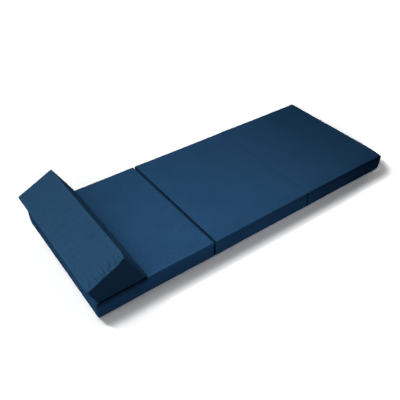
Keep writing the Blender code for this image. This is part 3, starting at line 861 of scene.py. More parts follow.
def subdivided(points, quads, panel, facts):
    """The surface with each quad cut in four and smoothed. The facts are point vectors that are cut too."""
    mesh = quads_mesh("pattern", points, quads)
    mesh.polygons.foreach_set("material_index", panel)
    for label, values in facts.items():
        attribute = mesh.attributes.new(label, "FLOAT_VECTOR", "POINT")
        attribute.data.foreach_set("vector", values.astype(np.float32).ravel())
    holder = bpy.data.objects.new("pattern", mesh)
    scene.collection.objects.link(holder)
    holder.modifiers.new("finer", "SUBSURF").levels = 1
    graph = bpy.context.evaluated_depsgraph_get()
    finer = bpy.data.meshes.new_from_object(holder.evaluated_get(graph))
    made = (
        read(finer.vertices, "co", 3).astype(float),
        read(finer.vertex_normals, "vector", 3).astype(float),
        read(finer.loops, "vertex_index", 1, np.int32).reshape(-1, 4),
        read(finer.polygons, "material_index", 1, np.int32),
        {label: read(finer.attributes[label].data, "vector", 3).astype(float) for label in facts},
    )
    bpy.data.objects.remove(holder)
    bpy.data.meshes.remove(mesh)
    bpy.data.meshes.remove(finer)
    return made


print("mesh helpers are ready")


# %% Waves along a seam and over a panel
def ripple(along, seed, shortest, longest, count=9):
    """A wavy line made of several waves of different lengths, the same each time for one seed."""
    random = np.random.default_rng(seed)
    lengths = random.uniform(shortest, longest, count)
    starts = random.uniform(0, 2 * math.pi, count)
    waves = np.cos(2 * math.pi * along[:, None] / lengths + starts)
    return waves.sum(axis=1) / math.sqrt(count)


def swell(points, seed, shortest, longest, count=10):
    """Low waves that cross in all directions."""
    random = np.random.default_rng(seed)
    heading = random.normal(size=(count, 3))
    heading /= np.linalg.norm(heading, axis=1)[:, None]
    heading *= 2 * math.pi / random.uniform(shortest, longest, count)[:, None]
    starts = random.uniform(0, 2 * math.pi, count)
    return np.cos(points @ heading.T + starts).sum(axis=1) / math.sqrt(count)


GROOVE_DEPTH, GROOVE_WIDTH = 0.0011, 0.0015
SHOULDER_RISE, SHOULDER_AT, SHOULDER_WIDTH = 0.00030, 0.0048, 0.0030
PUCKER_HEIGHT, PUCKER_REACH, PUCKER_WAVES = 0.00042, 0.014, (0.020, 0.052)
GATHERED, GATHERED_SPREAD, GATHERED_MOST, GATHERED_WAVES = 0.55, 0.45, 1.4, (0.09, 0.30)
SWELL_HEIGHT, SWELL_WAVES = 0.00055, (0.10, 0.26)
CALM_REACH = 0.03


def sewn(points, normals, arcs, share, seed):
    """Moves points to sink the seams, gather the cloth beside them and let the flats swell."""
    order = np.argsort(arcs, axis=1)
    rows = np.arange(len(points))
    beside, along = order[:, 1], order[:, 2]
    seam = arcs[rows, beside]
    run = points[rows, along]
    out = -GROOVE_DEPTH * np.exp(-((seam / GROOVE_WIDTH) ** 2))
    out += SHOULDER_RISE * np.exp(-(((seam - SHOULDER_AT) / SHOULDER_WIDTH) ** 2))
    gather = np.zeros(len(points))
    strength = np.zeros(len(points))
    for axis, first, second in itertools.product(range(3), (0, 1), (0, 1)):
        sides = [n for n in range(3) if n != axis]
        here = along == axis
        here &= (share[:, sides[0]] > 0.5) == bool(first)
        here &= (share[:, sides[1]] > 0.5) == bool(second)
        number = seed + axis * 4 + first * 2 + second
        gather[here] = ripple(run[here], number, *PUCKER_WAVES)
        strength[here] = GATHERED + GATHERED_SPREAD * ripple(run[here], number + 50, *GATHERED_WAVES, count=5)
    corner = np.clip((arcs[rows, along] - seam) / CALM_REACH, 0, 1)
    fading = corner * np.exp(-seam / PUCKER_REACH)
    out += PUCKER_HEIGHT * gather * np.clip(strength, 0, GATHERED_MOST) * fading
    calm = 1 - np.exp(-seam / CALM_REACH)
    out += SWELL_HEIGHT * calm * swell(points, seed + 90, *SWELL_WAVES)
    return points + normals * out[:, None], seam


print("puckers up to", PUCKER_HEIGHT * 1000, "mm and swells of", SWELL_HEIGHT * 1000, "mm")

# %% [markdown]
# Where the wedge's cover was pulled over the foam, a few short folds run in from the near edge of its top.
# Each is a line with a soft ridge along it that fades at both ends. Its ridge is painted paler, as wear and
# as a painted highlight, and the side away from the light gets painted shade, which is how the eye finds a
# fold that is only 2 or 3 mm high.


# %% Folds along short lines
def raised_fold(points, start, end, height, width):
    """How far each point rises for a soft ridge along a line."""
    start, line = np.array(start), np.array(end) - np.array(start)
    along = (points - start) @ line / (line @ line)
    beside = np.linalg.norm(points - start - np.clip(along, 0, 1)[:, None] * line, axis=1)
    fade = np.clip(1 - (2 * np.clip(along, 0, 1) - 1) ** 4, 0, 1)
    return height * fade * np.exp(-((beside / width) ** 2))


WEDGE_TOP_LOW, WEDGE_TOP_HIGH = wedge_outline[3], wedge_outline[2]


def on_wedge_top(share, depth):
    """A place on the sloping top, by its share of the way up and its distance from the near edge."""
    x, z = WEDGE_TOP_LOW + (WEDGE_TOP_HIGH - WEDGE_TOP_LOW) * share
    return (x, depth - SECTION_WIDTH / 2, z)


# Share up the slope and depth at both ends, height and width
NEAR_FOLDS = [
    (0.40, 0.004, 0.37, 0.050, 0.0029, 0.0050), (0.47, 0.006, 0.46, 0.062, 0.0034, 0.0055),
    (0.54, 0.004, 0.56, 0.048, -0.0011, 0.0045), (0.60, 0.006, 0.64, 0.070, 0.0032, 0.0060),
    (0.27, 0.005, 0.24, 0.040, 0.0020, 0.0060), (0.73, 0.006, 0.77, 0.052, 0.0024, 0.0055),
    (0.88, 0.012, 0.83, 0.045, 0.0020, 0.0060), (0.08, 0.010, 0.12, 0.050, 0.0020, 0.0070),
]
# Painted highlight, also standing for wear, on each fold's ridge; painted shade beside it, and where that
# shade lies
FOLD_RIDGE_HIGHLIGHT, FOLD_SHADE, FOLD_SHADE_AT = 0.9, 0.22, (0.008, 0, 0.004)
FOLDS = {block: [] for block in BLOCKS}
for one, one_depth, two, two_depth, height, width in NEAR_FOLDS:
    FOLDS["wedge"].append((on_wedge_top(one, one_depth), on_wedge_top(two, two_depth), height, width))
print("the wedge has", len(FOLDS["wedge"]), "short folds")

# %% [markdown]
# ## Letting the covers go slack
# Where the cloth has a little too much length, it settles into shallow folds that no formula draws well, so
# Blender's Cloth does that part. The cover starts on the foam, gets one part in a hundred more cloth and a
# breath of pressure, and its seams are pinned. The air also lifts each panel in one great swell, which the
# foam would never allow, so that part is measured by smoothing the movement and taken away. What is left
# are the folds, and no point may keep more than a millimetre or two of them.

# %% Simulate a cover
SLACK, AIR = 0.012, 1.2
CLOTH_FRAMES = 14
CLOTH_SETTINGS = {
    "quality": 5, "mass": 0.25, "tension_stiffness": 12, "compression_stiffness": 12, "shear_stiffness": 4,
    "bending_stiffness": 0.12, "shrink_min": -SLACK, "use_pressure": True, "uniform_pressure_force": AIR,
    "vertex_group_mass": "pins", "pin_stiffness": 1.0,
}
PINNED_TO, PINNED, FREE_FROM = 0.004, 0.9, 0.010
CAP_OUT, CAP_IN = 0.0016, 0.0012
SMOOTHINGS = 60


def smoothed(values, quads, times):
    """Values at the points of a mesh, each averaged with its neighbours several times."""
    pairs = np.concatenate([quads[:, [0, 1]], quads[:, [1, 2]], quads[:, [2, 3]], quads[:, [3, 0]]])
    pairs = np.concatenate([pairs, pairs[:, ::-1]])
    count = np.bincount(pairs[:, 0], minlength=len(values))
    for _ in range(times):
        around = np.bincount(pairs[:, 0], weights=values[pairs[:, 1]], minlength=len(values)) / count
        values = (values + around) / 2
    return values


def slackened(points, quads, outwards, arcs):
    """How far each point has moved outwards when the cloth has settled, without the swell and capped."""
    mesh = quads_mesh("slack", points, quads)
    holder = bpy.data.objects.new("slack", mesh)
    scene.collection.objects.link(holder)
    pins = holder.vertex_groups.new(name="pins")
    seam = np.sort(arcs, axis=1)[:, 1]
    for i in np.flatnonzero(seam < PINNED_TO):
        pins.add([int(i)], PINNED, "REPLACE")
    cloth = holder.modifiers.new("cloth", "CLOTH")
    for label, value in CLOTH_SETTINGS.items():
        setattr(cloth.settings, label, value)
    cloth.settings.effector_weights.gravity = 0
    scene.frame_start, scene.frame_end = 1, CLOTH_FRAMES
    for number in range(1, CLOTH_FRAMES + 1):
        scene.frame_set(number)
    graph = bpy.context.evaluated_depsgraph_get()
    settled = bpy.data.meshes.new_from_object(holder.evaluated_get(graph))
    moved = ((read(settled.vertices, "co", 3) - points) * outwards).sum(axis=1)
    bpy.data.objects.remove(holder)
    bpy.data.meshes.remove(mesh)
    bpy.data.meshes.remove(settled)
    scene.frame_set(1)
    folds = moved - smoothed(moved, quads, SMOOTHINGS)
    folds = smoothed(folds, quads, 1) * np.clip(seam / FREE_FROM, 0, 1)
    return np.where(folds > 0, CAP_OUT * np.tanh(folds / CAP_OUT), CAP_IN * np.tanh(folds / CAP_IN))


print("slack of", SLACK * 100, "in a hundred")

# %% [markdown]
# ## Cutting the cover into its panels
# On the sewing table the cover is separate panels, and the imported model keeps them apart, so each panel is
# a piece of its own here too. Splitting along the seams also keeps the fold of each seam crisp, because the
# shading no longer runs on from one panel to the next. Every panel gets a flat map in metres for its weave
# and the seam attribute for its wear, and Solidify gives it the thickness of cloth.


# %% Make pieces of cloth
def new_piece(name, mesh, material, body):
    """A named piece with a material that rides on a body."""
    piece = bpy.data.objects.new(name, mesh)
    scene.collection.objects.link(piece)
    mesh.materials.append(material)
    mesh.polygons.foreach_set("use_smooth", np.ones(len(mesh.polygons), bool))
    if body:
        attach(piece, body)
    return piece


def cloth_piece(name, points, quads, flat, facts, thickness, material, body):
    """A piece of cloth from one face of it, its flat map in metres and some facts about each point."""
    mesh = quads_mesh(name, points, quads)
    mesh.uv_layers.new(name="cloth").data.foreach_set("uv", flat[quads.ravel()].astype(np.float32).ravel())
    for label, values in facts.items():
        fact = mesh.attributes.new(label, "FLOAT", "POINT")
        fact.data.foreach_set("value", values.astype(np.float32))
    piece = new_piece(name, mesh, material, body)
    thick = piece.modifiers.new("cloth thickness", "SOLIDIFY")
    thick.thickness, thick.offset = thickness, -1.0
    return piece


def panel_piece(name, points, quads, facts, across, material, body):
    """A sewn panel cut from the surface of a cover, the size of its pattern and its area."""
    used, local = np.unique(quads, return_inverse=True)
    local = local.reshape(-1, 4)
    flat = points[used] @ np.array(across).T
    flat -= flat.min(axis=0)
    facts = {label: values[used] for label, values in facts.items()}
    piece = cloth_piece(name, points[used], local, flat, facts, CLOTH, material, body)
    diagonals = flat[local[:, 2]] - flat[local[:, 0]], flat[local[:, 3]] - flat[local[:, 1]]
    area = abs(np.cross(*diagonals)).sum() / 2
    width, length = (float(part) for part in flat.max(axis=0))
    return piece, (width, length), float(min(area, width * length))


print("covers are", CLOTH * 1000, "mm thick")


# %% The pattern of a cover
def panel_maps(normals):
    """The two directions along each panel that its flat map follows, by the way its side faces."""
    level, crosswise, upright = np.eye(3)
    maps = dict.fromkeys(("near", "far_lower", "far_upper", "tape"), (level, upright))
    for side, label in (("-c", "bottom"), ("+c", "top"), ("-a", "head_end"), ("+a", "foot_end")):
        maps[label] = (np.cross(crosswise, normals[side]), crosswise)
    return maps


SECTION_NAMES = {"bottom": "bottom_sheet", "top": "top_sheet", "near": "near_band",
                 "head_end": "head_end_band", "foot_end": "foot_end_band",
                 "far_lower": "far_band_lower", "far_upper": "far_band_upper", "tape": "zip_tape"}
WEDGE_NAMES = {"bottom": "slope_sheet", "top": "base_sheet", "near": "near_panel",
               "head_end": "front_band", "foot_end": "back_band",
               "far_lower": "far_panel_lower", "far_upper": "far_panel_upper", "tape": "zip_tape"}
print("a cover is cut into", len(SECTION_NAMES), "pieces")


# %% The soft surface of a cover
SEAM_WEAR = 0.0055

# How much of its simulated folds each cover keeps
LOOSENESS = {"head": 0.6, "middle": 0.6, "foot": 0.6, "wedge": 0.35}


def soft_cover(block, number):
    """A cover with its slack, its seams and its folds, as points, quads, the panel of each quad, how worn
    each point is, with a painted highlight on the ridges of folds, how much painted shade each point gets
    beside the folds, and the way that each side faces."""
    points, quads, panel, share, arcs, normals = block_grid(**BLOCKS[block])
    rough = quads_mesh("rough", points, quads)
    outwards = read(rough.vertex_normals, "vector", 3).astype(float)
    bpy.data.meshes.remove(rough)
    moved = slackened(points, quads, outwards, arcs) * LOOSENESS[block]
    points = points + outwards * moved[:, None]
    lowest, highest, spread = (1000 * part for part in (moved.min(), moved.max(), moved.std()))
    print(f"{block} folds from {lowest:.2f} to {highest:.2f} mm, spread {spread:.3f}")
    facts = {"share": share, "arcs": arcs}
    points, outwards, quads, panel, facts = subdivided(points, quads, panel, facts)
    points, seam = sewn(points, outwards, facts["arcs"], facts["share"], 100 * number)
    for fold in FOLDS[block]:
        points += outwards * raised_fold(points, *fold)[:, None]
    points = pressed(block, points)
    worn, shaded = np.exp(-seam / SEAM_WEAR), np.zeros(len(points))
    # Each fold's ridge gets a painted highlight that also stands for wear, and the side away from the light
    # gets painted shade
    for start, end, _, width in FOLDS[block]:
        worn = np.maximum(worn, FOLD_RIDGE_HIGHLIGHT * raised_fold(points, start, end, 1.0, width))
        beside = raised_fold(points - FOLD_SHADE_AT, start, end, 1.0, width)
        shaded = np.maximum(shaded, FOLD_SHADE * beside)
    return points, quads, panel, worn, shaded, normals


# %% Dress one block
FOAM_GAP, FOAM_COARSER = 0.0008, 3


def dress(block, number):
    """The cover of a block, cut into its panels, each standing for its CAD solid."""
    points, quads, panel, worn, shaded, normals = soft_cover(block, number)
    surfaces[block] = BVHTree.FromPolygons(points.tolist(), quads.tolist())
    maps = panel_maps(normals)
    names, cover = (WEDGE_NAMES, wedge_cloth) if block == "wedge" else (SECTION_NAMES, cover_cloth)
    sizes = {}
    for label, name in names.items():
        cloth, slot = (tape_cloth, "zip_tape") if label == "tape" else (cover, "cover_cloth")
        chosen = quads[panel == PANELS.index(label)]
        band = float(label == "near" or label.startswith("far"))
        # Painted shade in the creases, under and beside the wedge, on the long sides and beside the folds
        painted_shade = np.maximum(painted_shade_share(block, points, band), shaded)
        facts = {"seam": worn, "painted_shade": painted_shade, "band": np.full(len(points), band)}
        piece, size, area = panel_piece(
            f"{block}_{name}_cloth", points, chosen, facts, maps[label], cloth, BODY_OF[block]
        )
        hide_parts(f"{block}_{name}")
        sizes[name] = [round(part, 3) for part in size]
    return sizes


def foam_block(block):
    """The foam inside a cover, which shows only when the cover comes off."""
    inside = BLOCKS[block] | {"cell": BLOCKS[block]["cell"] * FOAM_COARSER, "inset": CLOTH + FOAM_GAP}
    points, quads, *_ = block_grid(**inside)
    mesh = quads_mesh(f"{block}_foam", points, quads)
    piece = new_piece(f"{block}_foam", mesh, foam_finish, BODY_OF[block])
    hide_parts(f"{block}_foam_core")
    return piece


print("the foam is", (CLOTH + FOAM_GAP) * 1000, "mm smaller all round than its cover")

# %% [markdown]
# ## Foam
# The blocks are open-cell foam, cut with a hot wire, so the skin is dull, cream and full of tiny holes.
# A Voronoi pattern gives the holes, which painted shade darkens, and a slow noise the yellowing that old foam
# has.

# %% Foam material and the four dressed blocks
FOAM_HOLES, FOAM_HOLE_RANGE, FOAM_HOLE_DEEP, FOAM_HOLE_DARK = 420.0, (0.15, 0.55), 0.0006, 0.35
FOAM_PATCHES, FOAM_PATCH_RANGE = 6.0, (0.35, 0.65)
FOAM_SKIN, FOAM_TORN = 0.98, 0.86
FOAM_PALE, FOAM_AGED, FOAM_PORE_SHADE = (0.74, 0.71, 0.58, 1), (0.70, 0.64, 0.46, 1), (0.42, 0.37, 0.25, 1)

foam_finish, tree, shader = new_material("cream_foam")
place = add(tree, "ShaderNodeTexCoord").outputs["Object"]
cells = add(tree, "ShaderNodeTexVoronoi", {"Vector": place, "Scale": FOAM_HOLES}).outputs["Distance"]
holes = ranged(tree, cells, *FOAM_HOLE_RANGE)
aged = ranged(tree, noise(tree, place, FOAM_PATCHES, detail=4.0), *FOAM_PATCH_RANGE)
tone = mixed(tree, aged, FOAM_PALE, FOAM_AGED)
# Painted shade: the dented holes are darker
tone = mixed(tree, maths(tree, "MULTIPLY", holes, FOAM_HOLE_DARK), tone, FOAM_PORE_SHADE)
tree.links.new(tone, shader.inputs["Base Color"])
tree.links.new(ranged(tree, holes, 0.0, 1.0, FOAM_SKIN, FOAM_TORN), shader.inputs["Roughness"])
inputs = {"Height": holes, "Distance": FOAM_HOLE_DEEP, "Strength": 0.6}
dents = add(tree, "ShaderNodeBump", inputs, invert=True)
tree.links.new(dents.outputs[0], shader.inputs["Normal"])

flat_sizes, surfaces = {}, {}
for number, block in enumerate(BLOCKS, 1):
    foam_block(block)
    flat_sizes[block] = dress(block, number)
    print(block, "panels are cut to", flat_sizes[block])

# %% [markdown]
# ## Cloth hinges
# The row folds because strips of cover cloth join its blocks: one under the open crease, one over the closed
# crease, and one round the toe of the wedge. A strip is a line of points across the crease, swept over the
# width of the mattress.

# %% A strip across a crease
STRIP_REACH, STRIP_STEP = 0.394, 0.0045
STRIP_CLOTH = 0.0008
STRIP_WEAR, STRIP_WEAR_WIDTH = 0.8, 0.0015


def height_over(blocks, x, y):
    """The height of the covers at a place seen from above."""
    found = [surfaces[block].ray_cast(Vector((x, y, 1.0)), Vector((0, 0, -1)))[0] for block in blocks]
    return max(place.z for place in found if place)


def strip_piece(name, rows, node):
    """A strip of hinge cloth from rows of points, with one row for each place along the crease."""
    rows = np.array(rows)
    count, across = rows.shape[:2]
    index = np.arange(count * across).reshape(count, across)
    quads = np.stack([index[:-1, :-1], index[:-1, 1:], index[1:, 1:], index[1:, :-1]], axis=-1).reshape(-1, 4)
    if np.cross(rows[0, 1] - rows[0, 0], rows[1, 0] - rows[0, 0])[2] < 0:
        quads = quads[:, ::-1]
    gaps = np.linalg.norm(np.diff(rows, axis=1), axis=2).mean(axis=0)
    run = np.concatenate([[0], np.cumsum(gaps)])
    flat = np.stack(np.broadcast_arrays(run[None, :], rows[:, :1, 1]), axis=-1).reshape(-1, 2)
    edge = np.minimum(run, run[-1] - run)
    worn = np.broadcast_to(STRIP_WEAR * np.exp(-edge / STRIP_WEAR_WIDTH), (count, across)).ravel()
    facts = {"seam": worn}
    points = rows.reshape(-1, 3)
    piece = cloth_piece(name, points, quads, flat, facts, STRIP_CLOTH, hinge_cloth, None)
    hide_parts(node)
    length = float(np.linalg.norm(np.diff(rows[:, across // 2], axis=0), axis=1).sum())
    size = (max(0.01, float(run[-1])), length)
    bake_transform(piece)
    flat_sizes[name] = [round(part, 4) for part in size]
    print(name, "is cut to", flat_sizes[name])
    return piece


print("strips reach", STRIP_REACH, "m either way")

# %% Beads of thread
# The rings of a bead: how far along its length each one is, and how wide and how high it is, in radii
STITCH_SIDES = 6
STITCH_RINGS = [(-0.5, 0.35, -1.0), (-0.32, 0.9, 0.1), (0, 1, 0.55), (0.32, 0.9, 0.1), (0.5, 0.35, -1.0)]


def along_path(path, sideways_of):
    """Unit vectors ahead, beside and above at each point of a path."""
    ahead = np.gradient(path, axis=0)
    ahead /= np.linalg.norm(ahead, axis=1)[:, None]
    beside = np.cross(ahead, sideways_of)
    beside /= np.linalg.norm(beside, axis=1)[:, None]
    return ahead, beside, np.cross(beside, ahead)


def stitches(name, rows, length, radius, material):
    """Rows of thread stitches as one mesh. Each row is its points and the way that faces out of the cloth."""
    sides, rings = STITCH_SIDES, STITCH_RINGS
    angles = np.arange(sides) * 2 * math.pi / sides
    points, faces = [], []
    for places, outwards in rows:
        ahead, beside, above = along_path(places, outwards)
        for i in range(len(places)):
            first = len(points) * sides * len(rings)
            ring = [
                places[i] + ahead[i] * step * length + above[i] * (lift * radius)
                + (np.cos(angles)[:, None] * beside[i] + np.sin(angles)[:, None] * above[i]) * radius * size
                for step, size, lift in rings
            ]
            points.append(np.concatenate(ring))
            for r in range(len(rings) - 1):
                for s in range(sides):
                    low, high = first + r * sides, first + (r + 1) * sides
                    faces.append((low + s, low + (s + 1) % sides, high + (s + 1) % sides, high + s))
            faces.append(tuple(first + s for s in reversed(range(sides))))
            faces.append(tuple(first + (len(rings) - 1) * sides + s for s in range(sides)))
    mesh = bpy.data.meshes.new(name)
    mesh.from_pydata(np.concatenate(points).tolist(), [], faces)
    mesh.update()
    return new_piece(name, mesh, material, None)


THREAD_DARK = (0.018, 0.075, 0.170)
THREAD_LIGHT = (0.024, 0.092, 0.205)
THREAD_WORN = (0.07, 0.17, 0.30)
thread = cloth_material(
    "navy_thread", THREAD_DARK, THREAD_LIGHT, THREAD_WORN, pitch=0.0003, roughness=0.70, sheen=0.02,
    from_map=False
)
print("a stitch has", STITCH_SIDES, "sides and", len(STITCH_RINGS), "rings")

# %% [markdown]
# The open crease is held at the floor, so its strip lies flat under the rounded lower edges. The closed one
# is held at the top: its strip lies over both top sheets, dips between them and puckers along its stitches.

# %% The strip under the open crease
UNDER_OFFSETS = np.array([-7.5, -5.0, -2.5, 0, 2.5, 5.0, 7.5]) / 1000
UNDER_HEIGHT, UNDER_WAVE, UNDER_WAVES = 0.0009, 0.00006, (0.03, 0.09)

steps = np.linspace(-STRIP_REACH, STRIP_REACH, round(2 * STRIP_REACH / STRIP_STEP) + 1)
HEAD_MID, FOOT_MID = MIDDLE_START - HEAD_CREASE / 2, FOOT_START - FOOT_CREASE / 2


rows = []
for y, wave in zip(steps, ripple(steps, 700, *UNDER_WAVES)):
    rows.append([(HEAD_MID + off, y, UNDER_HEIGHT + UNDER_WAVE * wave) for off in UNDER_OFFSETS])
strip_piece("head_hinge_strip", rows, "head_hinge_cloth")

# %% The strip over the closed crease
OVER_OFFSETS = np.array([-9.5, -8.0, -6.0, -3.5, -1.2, 1.2, 3.5, 6.0, 8.0, 9.5]) / 1000
LANDING, DIP_HALF, GAP_HALF = 0.0085, 0.008, 0.0012
DIP, OVER_WAVE, OVER_WAVES, STRIP_LIFT = 0.0006, 0.00080, (0.014, 0.045), 0.0011

rows = []
for y, wave in zip(steps, ripple(steps, 710, *OVER_WAVES)):
    left = height_over(("middle",), FOOT_MID - LANDING, y)
    right = height_over(("foot",), FOOT_MID + LANDING, y)
    row = []
    for off in OVER_OFFSETS:
        inner = 1 - min(1, abs(off) / DIP_HALF) ** 2
        bridge = left + (right - left) * (off / (2 * LANDING) + 0.5) - DIP * inner + OVER_WAVE * wave * inner
        over = height_over(("middle", "foot"), FOOT_MID + off, y) if abs(off) > GAP_HALF else 0
        row.append((FOOT_MID + off, y, max(bridge, over) + STRIP_LIFT))
    rows.append(row)
strip_piece("foot_hinge_strip", rows, "foot_hinge_cloth")

# %% [markdown]
# A line of lockstitch runs along both edges of the strip that shows. A stitch is a small bead of thread that
# lies on the cloth and dives in at both ends. Hundreds of copies of one bead are cheap and catch the light.

# %% Stitches along the strip that shows
STITCH_PITCH, STITCH_LENGTH, STITCH_RADIUS, STITCH_PROUD = 0.0046, 0.0036, 0.00042, 0.0001
count = round(2 * STRIP_REACH / STITCH_PITCH)
spots = (np.arange(1, count) + 0.5) * STITCH_PITCH - STRIP_REACH
sewing = []
for at in (1, len(OVER_OFFSETS) - 2):
    line = np.array([row[at] for row in rows])
    places = np.stack([np.interp(spots, steps, line[:, n]) for n in range(3)], axis=1)
    sewing.append((places + (0, 0, STITCH_PROUD), np.broadcast_to((0, 0, 1.0), places.shape)))
foot_stitches = stitches("foot_hinge_stitches", sewing, STITCH_LENGTH, STITCH_RADIUS, thread)
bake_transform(foot_stitches)
print("two rows of", len(spots), "stitches")

# %% [markdown]
# The wedge turns about the upper edge of the head section, so its strip wraps round that edge and runs up
# the wedge's front. It has to turn sharply at the toe.

# %% The strip at the toe of the wedge
TOE_REACH = 0.389
WRAP_CENTRE = np.array((HEAD_START + SECTION_EDGE, 0.0895))
WRAP_RADIUS, WRAP_ANGLES, WRAP_STEPS = 0.0088, (66, 4), 9
FRONT_GAP, FRONT_BULGE, FRONT_FOOT = 0.0010, (0.0006, 0), (0.0002, -0.0001)
FRONT_RISES = (0.0008, 0.0030, 0.0060, 0.0095)

outward = np.array((-lean[1], lean[0]))
front = toe + outward * FRONT_GAP
profile = []
for angle in np.radians(np.linspace(*WRAP_ANGLES, WRAP_STEPS)):
    profile.append(WRAP_CENTRE + WRAP_RADIUS * np.array((-math.sin(angle), math.cos(angle))))
profile += [(front + WRAP_CENTRE + (0, WRAP_RADIUS)) / 2 + FRONT_BULGE, front + FRONT_FOOT]
profile += [front + lean * rise for rise in FRONT_RISES]
rows = [[(x, y, z) for x, z in profile] for y in steps if abs(y) < TOE_REACH]
strip_piece("wedge_hinge_strip", rows, "wedge_hinge_cloth")

# %% [markdown]
# ## Zips
# Each cover comes off through a zip on the far side, which the picture doesn't show. It is a coil zip: two
# springs of nylon thread on a woven tape, pressed into each other. A ridged strip would look the same from
# afar, but real turns cost little, so each side is a helix with the other half a turn behind it.

# %% Nylon, and metal for the sliders
scuffs, given, result = new_group(
    "small_scuffs",
    [("Place", "NodeSocketVector", None), ("Scale", "NodeSocketFloat", 900.0)],
    [("Scuff", "NodeSocketFloat"), ("Grain", "NodeSocketFloat")],
)
SCUFF_RANGE, GRAIN_FINER = (0.52, 0.72), 5.0
GRAIN_DARK, SCUFF_PALE, GRAIN_DEEP, GRAIN_STRENGTH = 0.8, 0.6, 0.00005, 0.35

scuff = noise(scuffs, given["Place"], given["Scale"], detail=4.0, roughness=0.7)
scuff = ranged(scuffs, scuff, *SCUFF_RANGE)
grain = noise(scuffs, given["Place"], maths(scuffs, "MULTIPLY", given["Scale"], GRAIN_FINER), detail=2.0)
scuffs.links.new(scuff, result["Scuff"])
scuffs.links.new(grain, result["Grain"])


def hard_material(name, colour, scuffed, smooth, rough, metallic, scale):
    """Nylon or metal whose scuffs are paler and rougher."""
    material, tree, shader = new_material(name)
    place = add(tree, "ShaderNodeTexCoord").outputs["Object"]
    marks = placed(tree, scuffs, {"Place": place, "Scale": scale})
    tone = mixed(tree, marks["Grain"], (*(GRAIN_DARK * c for c in colour), 1), (*colour, 1))
    tone = mixed(tree, maths(tree, "MULTIPLY", marks["Scuff"], SCUFF_PALE), tone, (*scuffed, 1))
    tree.links.new(tone, shader.inputs["Base Color"])
    tree.links.new(ranged(tree, marks["Scuff"], 0.0, 1.0, smooth, rough), shader.inputs["Roughness"])
    shader.inputs["Metallic"].default_value = metallic
    inputs = {"Height": marks["Grain"], "Distance": GRAIN_DEEP, "Strength": GRAIN_STRENGTH}
    tree.links.new(add(tree, "ShaderNodeBump", inputs).outputs[0], shader.inputs["Normal"])
    return material


nylon = hard_material(
    "navy_nylon_coil", (0.014, 0.040, 0.085), (0.05, 0.09, 0.15), smooth=0.32, rough=0.55, metallic=0.0,
    scale=1500.0
)
zip_metal = hard_material(
    "zinc_zip_metal", (0.60, 0.60, 0.61), (0.40, 0.40, 0.42), smooth=0.28, rough=0.50, metallic=1.0,
    scale=900.0
)
print("hard finishes:", nylon.name, zip_metal.name)

# %% The coil and the stitches of its tape
COIL_PITCH, COIL_WIRE = 0.0017, 0.00030
COIL_HALF, COIL_DEEP, COIL_APART, COIL_GAP = 0.00125, 0.00048, 0.0011, 0.0003
TURN_POINTS, KNOTS = 8, 40
TAPE_STITCH, TAPE_STITCH_FROM, TAPE_STITCH_LEAN = 0.0072, 0.008, 0.55


def far_side(block, xs, height):
    """How far out the far side of a cover is at some places along it."""
    back = Vector((0, -1, 0))
    return np.array([surfaces[block].ray_cast(Vector((x, 1.0, height)), back)[0].y for x in xs])


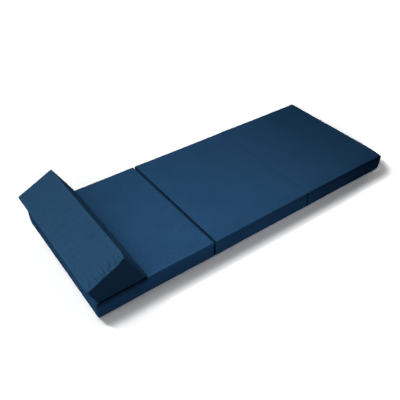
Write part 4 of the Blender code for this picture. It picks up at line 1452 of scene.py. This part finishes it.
def coil_mesh(name, block):
    """Two helices that hold each other, along the zip of a block."""
    low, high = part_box(f"{block}_zip_coil")
    height = (low[2] + high[2]) / 2
    knots = np.linspace(low[0], high[0], KNOTS)
    outermost = high[1] - 2 * COIL_DEEP - 2 * COIL_WIRE - COIL_GAP
    base = np.minimum(far_side(block, knots, height), outermost)
    count = int((high[0] - low[0] - COIL_PITCH) / COIL_PITCH)
    turn = np.arange(count * TURN_POINTS + 1) / TURN_POINTS
    points, faces = [], []
    for side in (-1, 1):
        angle = 2 * math.pi * turn + (0 if side > 0 else math.pi)
        x = low[0] + COIL_WIRE + COIL_PITCH * (turn + (0 if side > 0 else 0.5))
        y = np.interp(x, knots, base) + COIL_DEEP + COIL_WIRE + COIL_GAP + COIL_DEEP * np.sin(angle)
        z = height + side * (COIL_APART + COIL_HALF * np.cos(angle))
        path = np.stack([x, y, z], axis=1)
        _, beside, above = along_path(path, (1.0, 0, 0))
        first = sum(len(part) for part in points)
        ring = [path + COIL_WIRE * (c * beside + s * above) for c, s in ((1, 0), (0, 1), (-1, 0), (0, -1))]
        points.append(np.stack(ring, axis=1).reshape(-1, 3))
        rings = first + np.arange(len(path))[:, None] * 4 + np.arange(4)
        around = np.roll(rings, -1, axis=1)
        walls = np.stack([rings[:-1], around[:-1], around[1:], rings[1:]], axis=-1).reshape(-1, 4)
        faces.append(np.concatenate([walls, rings[:1, ::-1], rings[-1:]]))
    mesh = quads_mesh(name, np.concatenate(points), np.concatenate(faces))
    return mesh, count


for block in BLOCKS:
    mesh, count = coil_mesh(f"{block}_zip_teeth", block)
    teeth = new_piece(f"{block}_zip_teeth", mesh, nylon, BODY_OF[block])
    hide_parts(f"{block}_zip_coil")
    low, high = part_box(f"{block}_zip_tape")
    sewing = []
    for side in (-1, 1):
        height = (low[2] + high[2]) / 2 + side * TAPE_STITCH
        xs = np.arange(low[0] + TAPE_STITCH_FROM, high[0] - TAPE_STITCH_FROM, STITCH_PITCH)
        if block == "wedge":
            xs += TAPE_STITCH_LEAN * (height - (low[2] + high[2]) / 2) * -math.sin(slope)
        places = np.stack([xs, far_side(block, xs, height) + STITCH_PROUD, np.full(len(xs), height)], axis=1)
        sewing.append((places, np.broadcast_to((0, 1.0, 0), places.shape)))
    seams = stitches(f"{block}_zip_stitches", sewing, STITCH_LENGTH, STITCH_RADIUS, thread)
    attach(seams, BODY_OF[block])
    print(block, "zip has", 2 * count, "turns of coil and", 2 * len(xs), "stitches")

# %% [markdown]
# The sliders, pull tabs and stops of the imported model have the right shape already. They only need zinc and
# edges that aren't razor sharp, because a small bright line along each edge is what makes metal look real.

# %% Finish the metal parts
METAL_EDGE, MERGE = 0.00022, 0.00001
for block in BLOCKS:
    for part in ("slider", "pull", "closed_stop", "open_stop"):
        node = bpy.data.objects[f"{block}_zip_{part}"]
        node.data.materials.clear()
        node.data.materials.append(zip_metal)
        merge = node.modifiers.new("one skin", "WELD")
        merge.merge_threshold = MERGE
        round_over = node.modifiers.new("worn edges", "BEVEL")
        round_over.width, round_over.segments, round_over.limit_method = METAL_EDGE, 2, "ANGLE"
print("metal edges are rounded by", METAL_EDGE * 1000, "mm")
